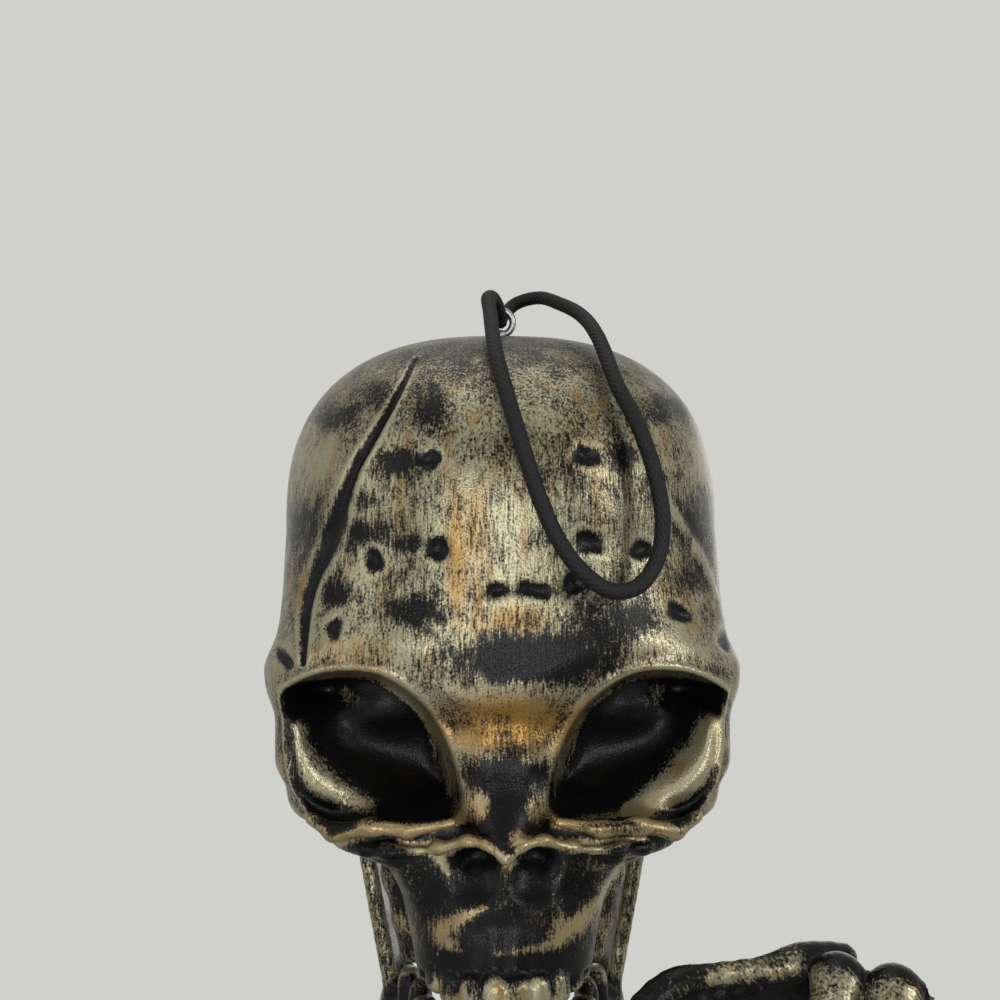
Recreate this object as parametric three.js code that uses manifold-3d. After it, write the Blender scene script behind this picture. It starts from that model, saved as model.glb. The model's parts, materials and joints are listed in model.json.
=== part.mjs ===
// Posable skeleton decoration, hung by a cord loop from the crown of the skull.
// Millimetres, +Z up. The face looks along -Y and the skeleton's left side is +X.
// The origin is the centre of the hanging eye on the crown.
import * as THREE from 'three';
import { mergeVertices } from 'three/addons/utils/BufferGeometryUtils.js';
import Module from 'manifold-3d';

const wasm = await Module();
wasm.setup();

// Fits shared by every piece
const GAP = 0.4;             // clearance between pieces that move or sit against each other
const PIN_FIT = 0.3;         // radial clearance of a pin or screw in its hole

// Skull
const EYE_RISE = 5.4;        // crown below the centre of the hanging eye
const SKULL_HALF_WIDTH = 66;
const SKULL_HALF_DEPTH = 76;
const SKULL_MID_Y = 8;
const SKULL_RISE = 58;       // crown above the widest level
const SKULL_DROP = 62;       // underside below the widest level
const SKULL_SQUARENESS = 2.6;
const SKULL_WALL = 3.5;
const SKULL_SPLIT_Y = 7;     // joint between face shell and rear shell
const SOCKET_X = 34;
const SOCKET_DEPTH = 31;
const TOOTH_COUNT = 10;
const JAW_OPENING = 1;       // gap between the closed tooth rows

// Neck and trunk
const NECK_Y = 24;
const NOD_Z = -150;
const NECK_BASE_Z = -280;
const NECK_PEG_RADIUS = 8;
const NECK_PEG_LENGTH = 18;
const RIB_COUNT = 10;
const RIB_TOP_Z = -300;
const RIB_PITCH = 22.5;
const RIB_SECTION = 6.2;     // half diagonal of the flat rib section
const RIB_FLATNESS = 0.6;
const SPINE_FOOT_Z = -532;
const LUMBAR_COUNT = 5;
const SACRUM_Z = -624;
const SACRUM_HALF_WIDTH = 23;

// Arms
const SHOULDER_X = 155;
const SHOULDER_Y = 10;
const SHOULDER_Z = -312;
const UPPER_ARM_LENGTH = 238;
const FOREARM_LENGTH = 225;
const ELBOW_TURN = 28;       // elbow axis turned inwards, degrees
const ELBOW_OFFSET = 7;
const HAND_TILT = 32;        // hand leans to the little finger side, degrees
const PALM_LENGTH = 65;

// Legs
const HIP_X = 86;
const HIP_Y = 4;
const HIP_Z = -715;
const THIGH_LENGTH = 385;
const SHIN_LENGTH = 362;
const KNEE_OFFSET = 7;
const SOLE_DROP = 62;        // sole below the ankle pin

// Rest pose, degrees
const LEFT_ARM = { swing: 60, lift: 0, elbow: 132, wrist: -24 };
const RIGHT_ARM = { swing: 6, lift: 7, elbow: 18, wrist: 8 };

// Hanging cord
const CORD_RADIUS = 2.1;

const WIDEST_Z = -EYE_RISE - SKULL_RISE;

// Materials
const material = (color, roughness, metalness) =>
  new THREE.MeshStandardMaterial({ color, roughness, metalness });
const bone = () => material(0x4a3f2a, 0.42, 0.45);
const steel = () => material(0x6b6a66, 0.4, 0.8);
const cordBlack = () => material(0x161617, 0.85, 0);

// Solids: joined and cut
function solid(geometry) {
  const plain = geometry.index ? geometry.clone() : geometry;
  plain.deleteAttribute('normal');
  plain.deleteAttribute('uv');
  const merged = mergeVertices(plain, 1e-4);
  const body = (index) => new wasm.Manifold(new wasm.Mesh({
    numProp: 3,
    vertProperties: new Float32Array(merged.attributes.position.array),
    triVerts: index,
  }));
  const index = new Uint32Array(merged.index.array);
  const first = body(index);
  if (first.volume() > 0) return first;
  for (let i = 0; i < index.length; i += 3) {
    [index[i], index[i + 1]] = [index[i + 1], index[i]];
  }
  return body(index);
}

const asSolid = (shape) => (shape.isBufferGeometry ? solid(shape) : shape);
const join = (...shapes) => shapes.flat().map(asSolid).reduce((a, b) => a.add(b));
const cut = (body, ...tools) =>
  tools.flat().map(asSolid).reduce((a, b) => a.subtract(b), asSolid(body));
const common = (a, b) => asSolid(a).intersect(asSolid(b));

function toGeometry(body) {
  const mesh = body.getMesh();
  const points = new Float32Array(mesh.numVert * 3);
  for (let i = 0; i < mesh.numVert; i += 1) {
    for (let k = 0; k < 3; k += 1) points[3 * i + k] = mesh.vertProperties[i * mesh.numProp + k];
  }
  const geometry = new THREE.BufferGeometry();
  geometry.setAttribute('position', new THREE.BufferAttribute(points, 3));
  geometry.setIndex(new THREE.BufferAttribute(new Uint32Array(mesh.triVerts), 1));
  geometry.computeVertexNormals();
  return geometry;
}

// Basic shapes
const vec = (p) => new THREE.Vector3(p[0], p[1], p[2]);

function box(x, y, z) {
  const geometry = new THREE.BoxGeometry(x[1] - x[0], y[1] - y[0], z[1] - z[0]);
  return geometry.translate((x[0] + x[1]) / 2, (y[0] + y[1]) / 2, (z[0] + z[1]) / 2);
}

function disc(axis, centre, radius, from, to, sides = 8) {
  const geometry = new THREE.CylinderGeometry(radius, radius, to - from, sides);
  geometry.translate(0, (from + to) / 2, 0);
  if (axis === 'x') geometry.rotateZ(-Math.PI / 2);
  if (axis === 'z') geometry.rotateX(Math.PI / 2);
  return geometry.translate(centre[0], centre[1], centre[2]);
}

function ball(centre, radii, power = 2, across = 8, down = 5) {
  const geometry = new THREE.SphereGeometry(1, across, down).rotateX(Math.PI / 2);
  const position = geometry.attributes.position;
  for (let i = 0; i < position.count; i += 1) {
    const p = [position.getX(i), position.getY(i), position.getZ(i)];
    const sum = p.reduce((total, c) => total + Math.abs(c) ** power, 0);
    const reach = sum ** (-1 / power);
    position.setXYZ(i, ...p.map((c, k) => centre[k] + c * reach * radii[k]));
  }
  return geometry;
}

// Closed loft through rings of points, closed by a fan at each end
function loft(rings) {
  const count = rings[0].length;
  const points = rings.flat().flatMap((p) => [p.x, p.y, p.z]);
  const index = [];
  for (let r = 0; r + 1 < rings.length; r += 1) {
    for (let i = 0; i < count; i += 1) {
      const a = r * count + i;
      const b = r * count + ((i + 1) % count);
      index.push(a, b, a + count, b, b + count, a + count);
    }
  }
  const last = (rings.length - 1) * count;
  for (let i = 1; i + 1 < count; i += 1) {
    index.push(0, i + 1, i, last, last + i, last + i + 1);
  }
  const geometry = new THREE.BufferGeometry();
  geometry.setAttribute('position', new THREE.BufferAttribute(new Float32Array(points), 3));
  geometry.setIndex(index);
  return geometry;
}

// Tapered round bone along a path: each station is [x, y, z, radius]
function limb(stations, options = {}) {
  const { sides = 5, steps = stations.length - 1, flat = 1, up = [0, 0, 1], round = true } = options;
  const curve = new THREE.CatmullRomCurve3(stations.map(vec), false, 'centripetal');
  const rings = [];
  const ring = (centre, tangent, radius) => {
    const side = new THREE.Vector3().crossVectors(tangent, vec(up)).normalize();
    const top = new THREE.Vector3().crossVectors(side, tangent).normalize();
    return Array.from({ length: sides }, (unused, i) => {
      const angle = (2 * Math.PI * (i + 0.5)) / sides;
      return centre.clone()
        .addScaledVector(side, Math.cos(angle) * radius * flat)
        .addScaledVector(top, Math.sin(angle) * radius);
    });
  };
  for (let s = 0; s <= steps; s += 1) {
    const t = s / steps;
    const place = t * (stations.length - 1);
    const k = Math.min(Math.floor(place), stations.length - 2);
    const radius = THREE.MathUtils.lerp(stations[k][3], stations[k + 1][3], place - k);
    const centre = curve.getPoint(t);
    const tangent = curve.getTangent(t);
    const cap = (way) => {
      const spot = centre.clone().addScaledVector(tangent, way * radius * 0.45);
      return ring(spot, tangent, radius * 0.6);
    };
    if (round && s === 0) rings.push(cap(-1));
    rings.push(ring(centre, tangent, radius));
    if (round && s === steps) rings.push(cap(1));
  }
  return loft(rings);
}

// Short four-sided bony spur
const spur = (from, to, thick, thin) =>
  limb([[...from, thick], [...to, thin]], { sides: 4, round: false });

// Bone shaft turned about Z: each station is [z, radius]
function shaft(stations, sides = 8) {
  const ends = [[stations[0][0], 0], ...stations, [stations.at(-1)[0], 0]];
  const profile = ends.map(([z, radius]) => new THREE.Vector2(radius, z));
  return new THREE.LatheGeometry(profile, sides).rotateX(Math.PI / 2);
}

// Flat plate: outline of [a, b] pairs, thickness along X
function plateX(outline, from, to) {
  const shape = new THREE.Shape(outline.map(([y, z]) => new THREE.Vector2(y, z)));
  const geometry = new THREE.ExtrudeGeometry(shape, { depth: to - from, bevelEnabled: false });
  geometry.rotateX(Math.PI / 2).rotateZ(Math.PI / 2);
  return geometry.translate(from, 0, 0);
}

const moved = (geometry, x, y, z) => geometry.translate(x, y, z);
const turnedZ = (geometry, degrees) => geometry.rotateZ(THREE.MathUtils.degToRad(degrees));
const turnedY = (geometry, degrees) => geometry.rotateY(THREE.MathUtils.degToRad(degrees));
const flipX = (geometry) => geometry.scale(-1, 1, 1);
const bothSides = (make) => [make(), flipX(make())];

// Skull
const skullDome = (inset, across, down) => {
  const geometry = ball([0, 0, 0], [1, 1, 1], SKULL_SQUARENESS, across, down);
  const position = geometry.attributes.position;
  for (let i = 0; i < position.count; i += 1) {
    const z = position.getZ(i);
    const height = (z > 0 ? SKULL_RISE : SKULL_DROP) - inset;
    position.setXYZ(
      i,
      position.getX(i) * (SKULL_HALF_WIDTH - inset) * (1 + 0.05 * position.getY(i)),
      SKULL_MID_Y + position.getY(i) * (SKULL_HALF_DEPTH - inset),
      WIDEST_Z + z * height,
    );
  }
  return geometry;
};

// Place on the forehead at x and z, lifted off the dome by the given distance
function onForehead(x, z, lift) {
  const reach = [SKULL_HALF_WIDTH * 0.96, SKULL_HALF_DEPTH, z > WIDEST_Z ? SKULL_RISE : SKULL_DROP];
  const share = [x / reach[0], 0, (z - WIDEST_Z) / reach[2]];
  const used = share.reduce((sum, c) => sum + Math.abs(c) ** SKULL_SQUARENESS, 0);
  share[1] = -(Math.max(0, 1 - used) ** (1 / SKULL_SQUARENESS));
  const slope = share.map((c, k) => (Math.sign(c) * Math.abs(c) ** (SKULL_SQUARENESS - 1)) / reach[k]);
  const away = vec(slope).normalize().multiplyScalar(lift);
  return [x + away.x, SKULL_MID_Y + share[1] * reach[1] + away.y, z + away.z];
}

const BROW_Z = WIDEST_Z - 36;
const SOCKET_Z = BROW_Z - 20;
const NOSE_Z = SOCKET_Z - 21;
const GUM_Z = BROW_Z - 70;
const TOOTH_LENGTH = 17;
const BITE_Z = GUM_Z - TOOTH_LENGTH + 2;
const JAW_AXIS = [0, -8, SOCKET_Z - 20];
const JAW_SEAT_X = 38;
const JAW_EAR = 5;

// Face from forehead to gum: level outlines, arched over the sockets at the brow.
// Each section: height, half width, front, back, share of the arch, squareness
function faceBlock() {
  const sections = [
    [BROW_Z + 30, 56, -62, 6, 0, 2],
    [BROW_Z + 14, 62.5, -68.5, 2, 0.5, 2],
    [BROW_Z + 5, 64.5, -70.5, -4, 0.9, 2.2],
    [BROW_Z - 3, 64.5, -69.5, -10, 0.9, 2.5],
    [BROW_Z - 12, 62, -64, -20, 0.5, 2.6],
    [BROW_Z - 28, 62.5, -63, -28, 0, 2.6],
    [BROW_Z - 40, 57, -64, -34, 0, 2.6],
    [BROW_Z - 48, 46, -66, -34, 0, 2.6],
    [BROW_Z - 52, 31, -66, -32, 0, 2.6],
    [GUM_Z - 2, 24.5, -70, -28, 0, 2.6],
  ];
  const count = 18;
  const arch = (x) => 6 * Math.cos((Math.PI * (Math.abs(x) - SOCKET_X)) / 36) - 2;
  return loft(sections.map(([z, half, front, back, share, power]) =>
    Array.from({ length: count }, (unused, i) => {
      const angle = (2 * Math.PI * i) / count;
      const [c, s] = [Math.cos(angle), Math.sin(angle)];
      const reach = (Math.abs(c) ** power + Math.abs(s) ** power) ** (-1 / power);
      const x = c * reach * half;
      const y = (front + back) / 2 + (s * reach * (back - front)) / 2;
      return new THREE.Vector3(x, y, z + share * arch(x));
    })));
}

const cheekArch = () => limb([
  [56, -44, BROW_Z - 38, 4.5], [62, -22, BROW_Z - 37, 3.5],
  [62, 0, BROW_Z - 27, 3.5], [56, 15, BROW_Z - 8, 5],
], { sides: 4, flat: 0.8, round: false });

const noseBridge = () => limb([
  [0, -59, BROW_Z - 10, 10.5], [0, -64, BROW_Z - 24, 9], [0, -75.5, NOSE_Z + 1, 6.5],
], { steps: 3, up: [0, 1, 0.3] });

const eyeSocket = (grow, across, down) => ball(
  [SOCKET_X, -66, SOCKET_Z], [24 + grow, SOCKET_DEPTH + grow, 20.5 + grow], 2.5, across, down,
);

const nostril = () => moved(turnedY(ball([0, 0, 0], [5.8, 15, 10], 2.2, 8, 6), -10), 7.4, -70, NOSE_Z - 9);

// Teeth stand on an arch: place on the arch by share of the half row
function toothRow(z, length, reach, taper) {
  return Array.from({ length: TOOTH_COUNT }, (unused, i) => {
    const share = (i + 0.5 - TOOTH_COUNT / 2) / (TOOTH_COUNT / 2);
    const angle = share * 1.35;
    const corner = 5.1 - 0.9 * Math.abs(share);
    const tooth = new THREE.CylinderGeometry(corner, corner * taper, length, 4, 1, false, Math.PI / 4);
    tooth.rotateX(Math.PI / 2).scale(1, 0.7, 1).rotateZ(angle);
    return tooth.translate(reach * Math.sin(angle), -46 - reach * Math.cos(angle), z);
  });
}

const NOD_AXIS = [0, NECK_Y, NOD_Z];
const NECK_HINGE = { radius: 10, inner: 10.4, outer: 15, pin: 3 };
const neckEar = () => join(
  disc('x', NOD_AXIS, NECK_HINGE.radius, NECK_HINGE.inner, NECK_HINGE.outer),
  box([NECK_HINGE.inner, NECK_HINGE.outer], [NECK_Y - 9, NECK_Y + 9], [NOD_Z, NOD_Z + 22]),
);

const skullScrewAt = (side) => [side * 28, 0, BROW_Z - 34];
const SKULL_SCREW_SEAT_Y = 36;

function wholeSkull() {
  const sockets = (grow, across, down) => bothSides(() => eyeSocket(grow, across, down));
  const cavity = cut(skullDome(SKULL_WALL, 10, 6), sockets(SKULL_WALL, 6, 5));
  const base = ball([0, 12, BROW_Z - 26], [40, 42, 24], 2.3, 10, 6);
  const outside = join(
    skullDome(0, 20, 10), base, faceBlock(), noseBridge(),
    bothSides(cheekArch),
    bothSides(() => disc('x', JAW_AXIS, 8, 16, JAW_SEAT_X)),
    bothSides(() => ball([38, 26, BROW_Z - 40], [8, 9, 13], 2, 8, 6)),
  );
  const hollowed = cut(
    outside, sockets(0, 12, 8), bothSides(nostril), cavity,
    ball([0, -36, GUM_Z - 4], [16, 24, 20], 2.2),
    disc('x', NOD_AXIS, NECK_HINGE.radius + 1.5, -NECK_HINGE.inner, NECK_HINGE.inner),
    bothSides(() => disc('x', JAW_AXIS, 2 + PIN_FIT, JAW_SEAT_X - 9, JAW_SEAT_X + 1)),
    bothSides(() => disc('x', NOD_AXIS, 6.6, NECK_HINGE.outer, 30)),
    disc('z', [0, 0, 0], 1.6 + PIN_FIT, -EYE_RISE - 20, 10, 8),
    [1, -1].map((side) => disc('y', skullScrewAt(side), 2 + PIN_FIT, -16, SKULL_SCREW_SEAT_Y + 4, 6)),
    [1, -1].map((side) => disc('y', skullScrewAt(side), 5.5, SKULL_SCREW_SEAT_Y, 90, 8)),
  );
  const ears = bothSidesSolid(neckEar);
  const teeth = toothRow(GUM_Z - TOOTH_LENGTH / 2 + 2, TOOTH_LENGTH, 24, 0.82);
  return cut(join(hollowed, ears, teeth), disc('x', NOD_AXIS, NECK_HINGE.pin + PIN_FIT, -26, 26));
}

const FAR = 400;
const skull = wholeSkull();
const skullFace = common(skull, box([-FAR, FAR], [-FAR, SKULL_SPLIT_Y - GAP / 2], [-FAR, FAR]));
const skullBack = common(skull, box([-FAR, FAR], [SKULL_SPLIT_Y + GAP / 2, FAR], [-FAR, FAR]));

// Screws and pins
function screw(axis, centre, radius, from, to, head) {
  const way = Math.sign(to - from);
  const span = (a, b) => [Math.min(a, b), Math.max(a, b)];
  return join(
    disc(axis, centre, radius, ...span(from, to + way), 6),
    disc(axis, centre, head, ...span(to, to + way * 2.5), 8),
  );
}

const pin = (axis, centre, radius, half, head) => join(
  disc(axis, centre, radius, -half - 1, half + 1, 8),
  disc(axis, centre, head, half + GAP, half + GAP + 2.4, 8),
);

// Jaw
function jaw() {
  const lean = (z) => JAW_SEAT_X + GAP + JAW_EAR / 2 - Math.max(0, JAW_AXIS[2] - 10 - z) * 0.21;
  const ramus = () => {
    const top = JAW_AXIS[2];
    const plate = plateX([
      [-3, top + 7], [-8, top + 8.5], [-14, top + 5], [-17, top - 4], [-21, top - 5], [-25, top + 3],
      [-28, top + 1], [-29, top - 16], [-33, top - 42], [-34, BITE_Z - 25], [-14, BITE_Z - 20],
      [-8, BITE_Z - 12], [-3, top - 26], [0, top - 8],
    ], -JAW_EAR / 2, JAW_EAR / 2);
    const position = plate.attributes.position;
    for (let i = 0; i < position.count; i += 1) {
      position.setX(i, position.getX(i) + lean(position.getZ(i)));
    }
    return plate;
  };
  const low = BITE_Z - 22;
  const leftArch = [
    [10, -67, low - 1, 10],
    [21, -55, low, 9.5],
    [29, -36, low + 2, 9],
    [lean(BITE_Z - 14) - 1, -18, low + 6, 8],
  ];
  const rightArch = leftArch.map(([x, y, z, radius]) => [-x, y, z, radius]).reverse();
  const body = limb([...rightArch, [0, -70, low - 1.5, 10.5], ...leftArch], { sides: 6, flat: 0.66 });
  const chin = ball([0, -70, low - 7], [13, 7, 7], 2.2);
  const teethZ = BITE_Z - JAW_OPENING - 7;
  const hole = disc('x', JAW_AXIS, 2 + PIN_FIT, -60, 60, 8);
  const seat = () => disc('x', JAW_AXIS, 10, 20, JAW_SEAT_X + GAP);
  return cut(join(bothSides(ramus), body, chin, toothRow(teethZ, 14, 22.5, 1.05)), hole, bothSides(seat));
}

// Hanging eye and cord
const hangingEye = () => join(
  new THREE.TorusGeometry(3.9, 1.1, 6, 12).rotateX(Math.PI / 2),
  disc('z', [0, 0, 0], 1.6, -EYE_RISE - SKULL_WALL - 5, -3.4, 6),
);

// Route of the loop: out of the eye to the front, down the forehead, round and back over the crown
const CORD_REST = CORD_RADIUS + 1;

// Place of the cord in front of the forehead, standing off it by a further distance
function standingOff([x, z, off]) {
  const place = onForehead(x, z, CORD_REST);
  return [place[0], place[1] - off, place[2]];
}

const CORD_ROUTE = [
  [0, -0.6, 0.2], [-0.6, -5, 3.2], [-2.4, -11, 5.6], [-4, -18.5, 4.2], [-3.6, -28, -1.2],
  ...[[-2, -20, 0], [1, -32, 0], [4.5, -44, 0.3], [8.5, -56, 1], [12.8, -65.8, 2.5], [18.6, -73.6, 4.5],
    [25.4, -78, 6], [31.7, -77, 7], [36.5, -70.7, 7], [38, -60.9, 6.5], [36.2, -49.2, 5], [33, -38.4, 3],
    [28.8, -28.3, 1]].map(standingOff),
  [26.5, -38, -10], [23.5, -21, -1.2], [18.5, -7, 4.6], [12, 4, 8.6],
  [5, 9.5, 7.6], [0.8, 7, 3], [0, 1.2, 0.2],
];

function hangingCord() {
  const route = new THREE.CatmullRomCurve3(CORD_ROUTE.map(vec), false, 'centripetal');
  const section = new THREE.Shape().absarc(0, 0, CORD_RADIUS, 0, 2 * Math.PI);
  return solid(new THREE.ExtrudeGeometry(section, { steps: 40, curveSegments: 4, extrudePath: route }));
}

// Neck
function neck() {
  const top = NOD_Z - 20;
  const count = 6;
  const pitch = (top - NECK_BASE_Z) / count;
  const stations = [];
  const spines = [];
  for (let i = 0; i < count; i += 1) {
    const z = top - i * pitch;
    const wide = 13 + i * 0.6;
    stations.push([z, wide - 1], [z - pitch * 0.5, wide], [z - pitch * 0.75, 9]);
    const back = NECK_Y + wide;
    spines.push(spur([0, back - 5, z - 5], [0, back + 10 + i, z - 11], 3.5, 2.4));
    spines.push(spur([-wide - 7, NECK_Y, z - 5], [wide + 7, NECK_Y, z - 5], 3, 3));
  }
  stations.push([NECK_BASE_Z + GAP, 13]);
  const column = moved(shaft(stations, 7), 0, NECK_Y, 0);
  const nodTongue = join(
    disc('x', NOD_AXIS, NECK_HINGE.radius, GAP - NECK_HINGE.inner, NECK_HINGE.inner - GAP),
    box([-9, 9], [NECK_Y - 8, NECK_Y + 8], [top - 4, NOD_Z]),
  );
  const peg = disc('z', [0, NECK_Y, 0], NECK_PEG_RADIUS, NECK_BASE_Z - NECK_PEG_LENGTH, NECK_BASE_Z + 6, 12);
  return cut(join(column, spines, nodTongue, peg), disc('x', NOD_AXIS, NECK_HINGE.pin + PIN_FIT, -20, 20));
}

// Ribcage
const ribShare = (i) => i / (RIB_COUNT - 1);
const spineY = (share) => 46 + 10 * Math.sin(Math.PI * Math.min(1, Math.max(0, share)));
const chestFrontY = (share) => -(48 + 38 * Math.sin(Math.PI * (0.1 + 0.45 * share)));
const RIB_SPLIT = 0.54;      // share of the half turn where front and rear halves meet

function ribPoint(i, turn) {
  const share = ribShare(i);
  const half = 48 + 66 * Math.sin(Math.PI * (0.12 + 0.53 * share));
  const back = spineY(share);
  const front = chestFrontY(share);
  const angle = Math.PI * turn;
  const swell = turn < 0.5 ? 9 * Math.sin(2 * angle) : 0;
  return [
    half * Math.sin(angle) ** 0.9,
    (back + front) / 2 + ((back - front) / 2) * Math.cos(angle) + swell,
    RIB_TOP_Z - i * RIB_PITCH - ((24 + 3.2 * i) * (1 - Math.cos(angle))) / 2,
  ];
}

function rib(i, from, to, steps) {
  const stations = Array.from({ length: steps + 1 }, (unused, s) => {
    const turn = THREE.MathUtils.lerp(from, to, s / steps);
    return [...ribPoint(i, turn), RIB_SECTION];
  });
  return limb(stations, { sides: 4, flat: RIB_FLATNESS, round: false });
}

const CHEST_SCREW_RIBS = [1, 7];
const SPLIT_GAP = GAP / 2;
const splitY = (i) => ribPoint(i, RIB_SPLIT)[1];
const frontSide = (i) => box([-FAR, FAR], [-FAR, splitY(i) - SPLIT_GAP], [-FAR * 3, FAR]);
const rearSide = (i) => box([-FAR, FAR], [splitY(i) + SPLIT_GAP, FAR], [-FAR * 3, FAR]);

const CHEST_BOSS = 5;
const chestScrewAt = (i) => {
  const [x, y, z] = ribPoint(i, RIB_SPLIT);
  return [x + CHEST_BOSS, y, z];
};
const chestBoss = (i) => disc('y', chestScrewAt(i), CHEST_BOSS, -8, 8);
const chestScrewHole = (i) => disc('y', chestScrewAt(i), 1.6 + PIN_FIT, -6.5, 12, 6);
const chestHeadRoom = (i) => disc('y', chestScrewAt(i), 4, 8, 16, 6);
const shaped = (i, bodies, side) => common(join(bodies), side(i));

function spineColumn(topZ, footZ, count, yAt, radius) {
  const pitch = (topZ - footZ) / count;
  const stations = [];
  const spurs = [];
  for (let i = 0; i < count; i += 1) {
    const z = topZ - i * pitch;
    const y = yAt(i / (count - 1));
    stations.push([0, y, z - pitch * 0.25, radius], [0, y, z - pitch * 0.85, radius * 0.7]);
    spurs.push(spur([0, y + radius - 5, z - 6], [0, y + radius + 14, z - 17], 4, 2.8));
  }
  stations.unshift([0, yAt(0), topZ, radius * 0.9]);
  stations.push([0, yAt(1), footZ, radius * 0.9]);
  return [limb(stations, { sides: 6, up: [0, 1, 0], round: false }), ...spurs];
}

const HUB_PEG_LENGTH = 17;
const BOSS_RADIUS = 15;
const BOSS_FACE_X = SHOULDER_X - 22;
const BOSS_AXIS = [0, SHOULDER_Y, SHOULDER_Z];
const SHOULDER_PEG = 7;
const shoulderBoss = (grow) =>
  disc('x', BOSS_AXIS, BOSS_RADIUS + grow, BOSS_FACE_X - 22, BOSS_FACE_X + grow);

function shoulderBlade() {
  const top = SHOULDER_Z + 14;
  const blade = loft([
    [[58, 55], [122, 22], [120, 15], [56, 47]].map(([x, y]) => new THREE.Vector3(x, y, top)),
    [[54, 59], [112, 38], [110, 32], [53, 51]].map(([x, y]) => new THREE.Vector3(x, y, top - 38)),
    [[58, 61], [88, 52], [87, 46], [57, 53]].map(([x, y]) => new THREE.Vector3(x, y, top - 78)),
    [[67, 60], [74, 58], [73, 52], [66, 53]].map(([x, y]) => new THREE.Vector3(x, y, top - 104)),
  ]);
  const ridge = limb([
    [58, 58, top - 24, 4], [90, 50, top - 8, 5], [116, 34, top + 4, 6],
    [BOSS_FACE_X - 9, SHOULDER_Y + 8, SHOULDER_Z + 10, 7],
  ], { sides: 4, round: false });
  const arm = limb([
    [104, 36, SHOULDER_Z - 6, 9], [BOSS_FACE_X - 12, SHOULDER_Y + 3, SHOULDER_Z, 12],
  ], { round: false });
  return join(blade, ridge, arm);
}

function ribcageBack() {
  const ribs = [];
  for (let i = 0; i < RIB_COUNT; i += 1) {
    const open = i === RIB_COUNT - 1;
    const halves = bothSides(() => rib(i, 0.015, open ? 0.6 : RIB_SPLIT + 0.04, 5));
    const bosses = CHEST_SCREW_RIBS.includes(i) ? bothSides(() => chestBoss(i)) : [];
    ribs.push(open ? join(halves) : shaped(i, [...halves, ...bosses], rearSide));
  }
  const collar = disc('z', [0, NECK_Y, 0], 14, NECK_BASE_Z - 24, NECK_BASE_Z, 12);
  const bridge = ball([0, 36, NECK_BASE_Z - 16], [14, 20, 12], 2.4);
  const body = join(
    spineColumn(NECK_BASE_Z - 8, SPINE_FOOT_Z, 10, (share) => spineY(share), 13), ribs, collar, bridge,
    bothSidesSolid(shoulderBlade), bothSides(() => shoulderBoss(0)),
  );
  const socketFloor = NECK_BASE_Z - NECK_PEG_LENGTH - GAP;
  const shoulderHole = () => disc(
    'x', BOSS_AXIS, SHOULDER_PEG + PIN_FIT, BOSS_FACE_X - HUB_PEG_LENGTH - 2, BOSS_FACE_X + 1, 12,
  );
  return cut(
    body,
    disc('z', [0, NECK_Y, 0], NECK_PEG_RADIUS + PIN_FIT, socketFloor, NECK_BASE_Z + 5, 12),
    disc('z', [0, spineY(1), 0], 6 + PIN_FIT, SPINE_FOOT_Z - 5, SPINE_FOOT_Z + 14, 10),
    bothSides(shoulderHole),
    box([-FAR, FAR], [-FAR, FAR], [-FAR * 3, SPINE_FOOT_Z]),
    CHEST_SCREW_RIBS.flatMap((i) => bothSides(() => chestHeadRoom(i))),
    CHEST_SCREW_RIBS.flatMap((i) => bothSides(() => chestScrewHole(i))),
  );
}

const COSTAL_RIB = RIB_COUNT - 2;
const ribEnd = (i) => (i < 7 ? 1 : 1 - 0.13 * (i - 6));

function ribcageFront() {
  const ribs = [];
  for (let i = 0; i < RIB_COUNT - 1; i += 1) {
    const halves = bothSides(() => rib(i, RIB_SPLIT - 0.04, Math.min(ribEnd(i), 0.99), 4));
    const bosses = CHEST_SCREW_RIBS.includes(i) ? bothSides(() => chestBoss(i)) : [];
    ribs.push(shaped(i, [...halves, ...bosses], frontSide));
  }
  const mid = (i) => ribPoint(i, 1);
  const sternum = limb([
    [0, mid(0)[1] - 0.5, mid(0)[2] + 12, 15], [0, mid(1)[1], mid(1)[2] + 8, 10],
    [0, mid(3)[1], mid(3)[2], 11], [0, mid(5)[1], mid(5)[2], 11],
    [0, mid(6)[1] - 1, mid(6)[2] - 2, 7], [0, mid(6)[1], mid(6)[2] - 22, 3],
  ], { up: [1, 0, 0], flat: 0.42, sides: 6, round: false });
  const margin = () => limb([
    [...ribPoint(COSTAL_RIB, ribEnd(COSTAL_RIB)), 4.6], [...ribPoint(7, ribEnd(7)), 5],
    [...ribPoint(6, 0.96), 5],
  ], { sides: 5 });
  const collarBone = () => cut(
    limb([
      [7, mid(0)[1] + 2, mid(0)[2] + 14, 6.5], [45, mid(0)[1] + 3, SHOULDER_Z + 26, 5],
      [88, -26, SHOULDER_Z + 27, 5], [BOSS_FACE_X - 14, SHOULDER_Y - 10, SHOULDER_Z + 17, 6.5],
      [BOSS_FACE_X - 6, SHOULDER_Y - 6, SHOULDER_Z + 15.5, 6.5],
    ], { steps: 6 }),
    shoulderBoss(GAP),
  );
  return cut(
    join(ribs, sternum, bothSides(margin), bothSidesSolid(collarBone)),
    CHEST_SCREW_RIBS.flatMap((i) => bothSides(() => chestScrewHole(i))),
  );
}

function bothSidesSolid(make) {
  const left = toGeometry(make());
  return [left.clone(), flipX(left.clone())];
}

const chestScrew = (i) => screw('y', chestScrewAt(i), 1.6, -5.5, 8 + GAP, 3.4);

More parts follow.
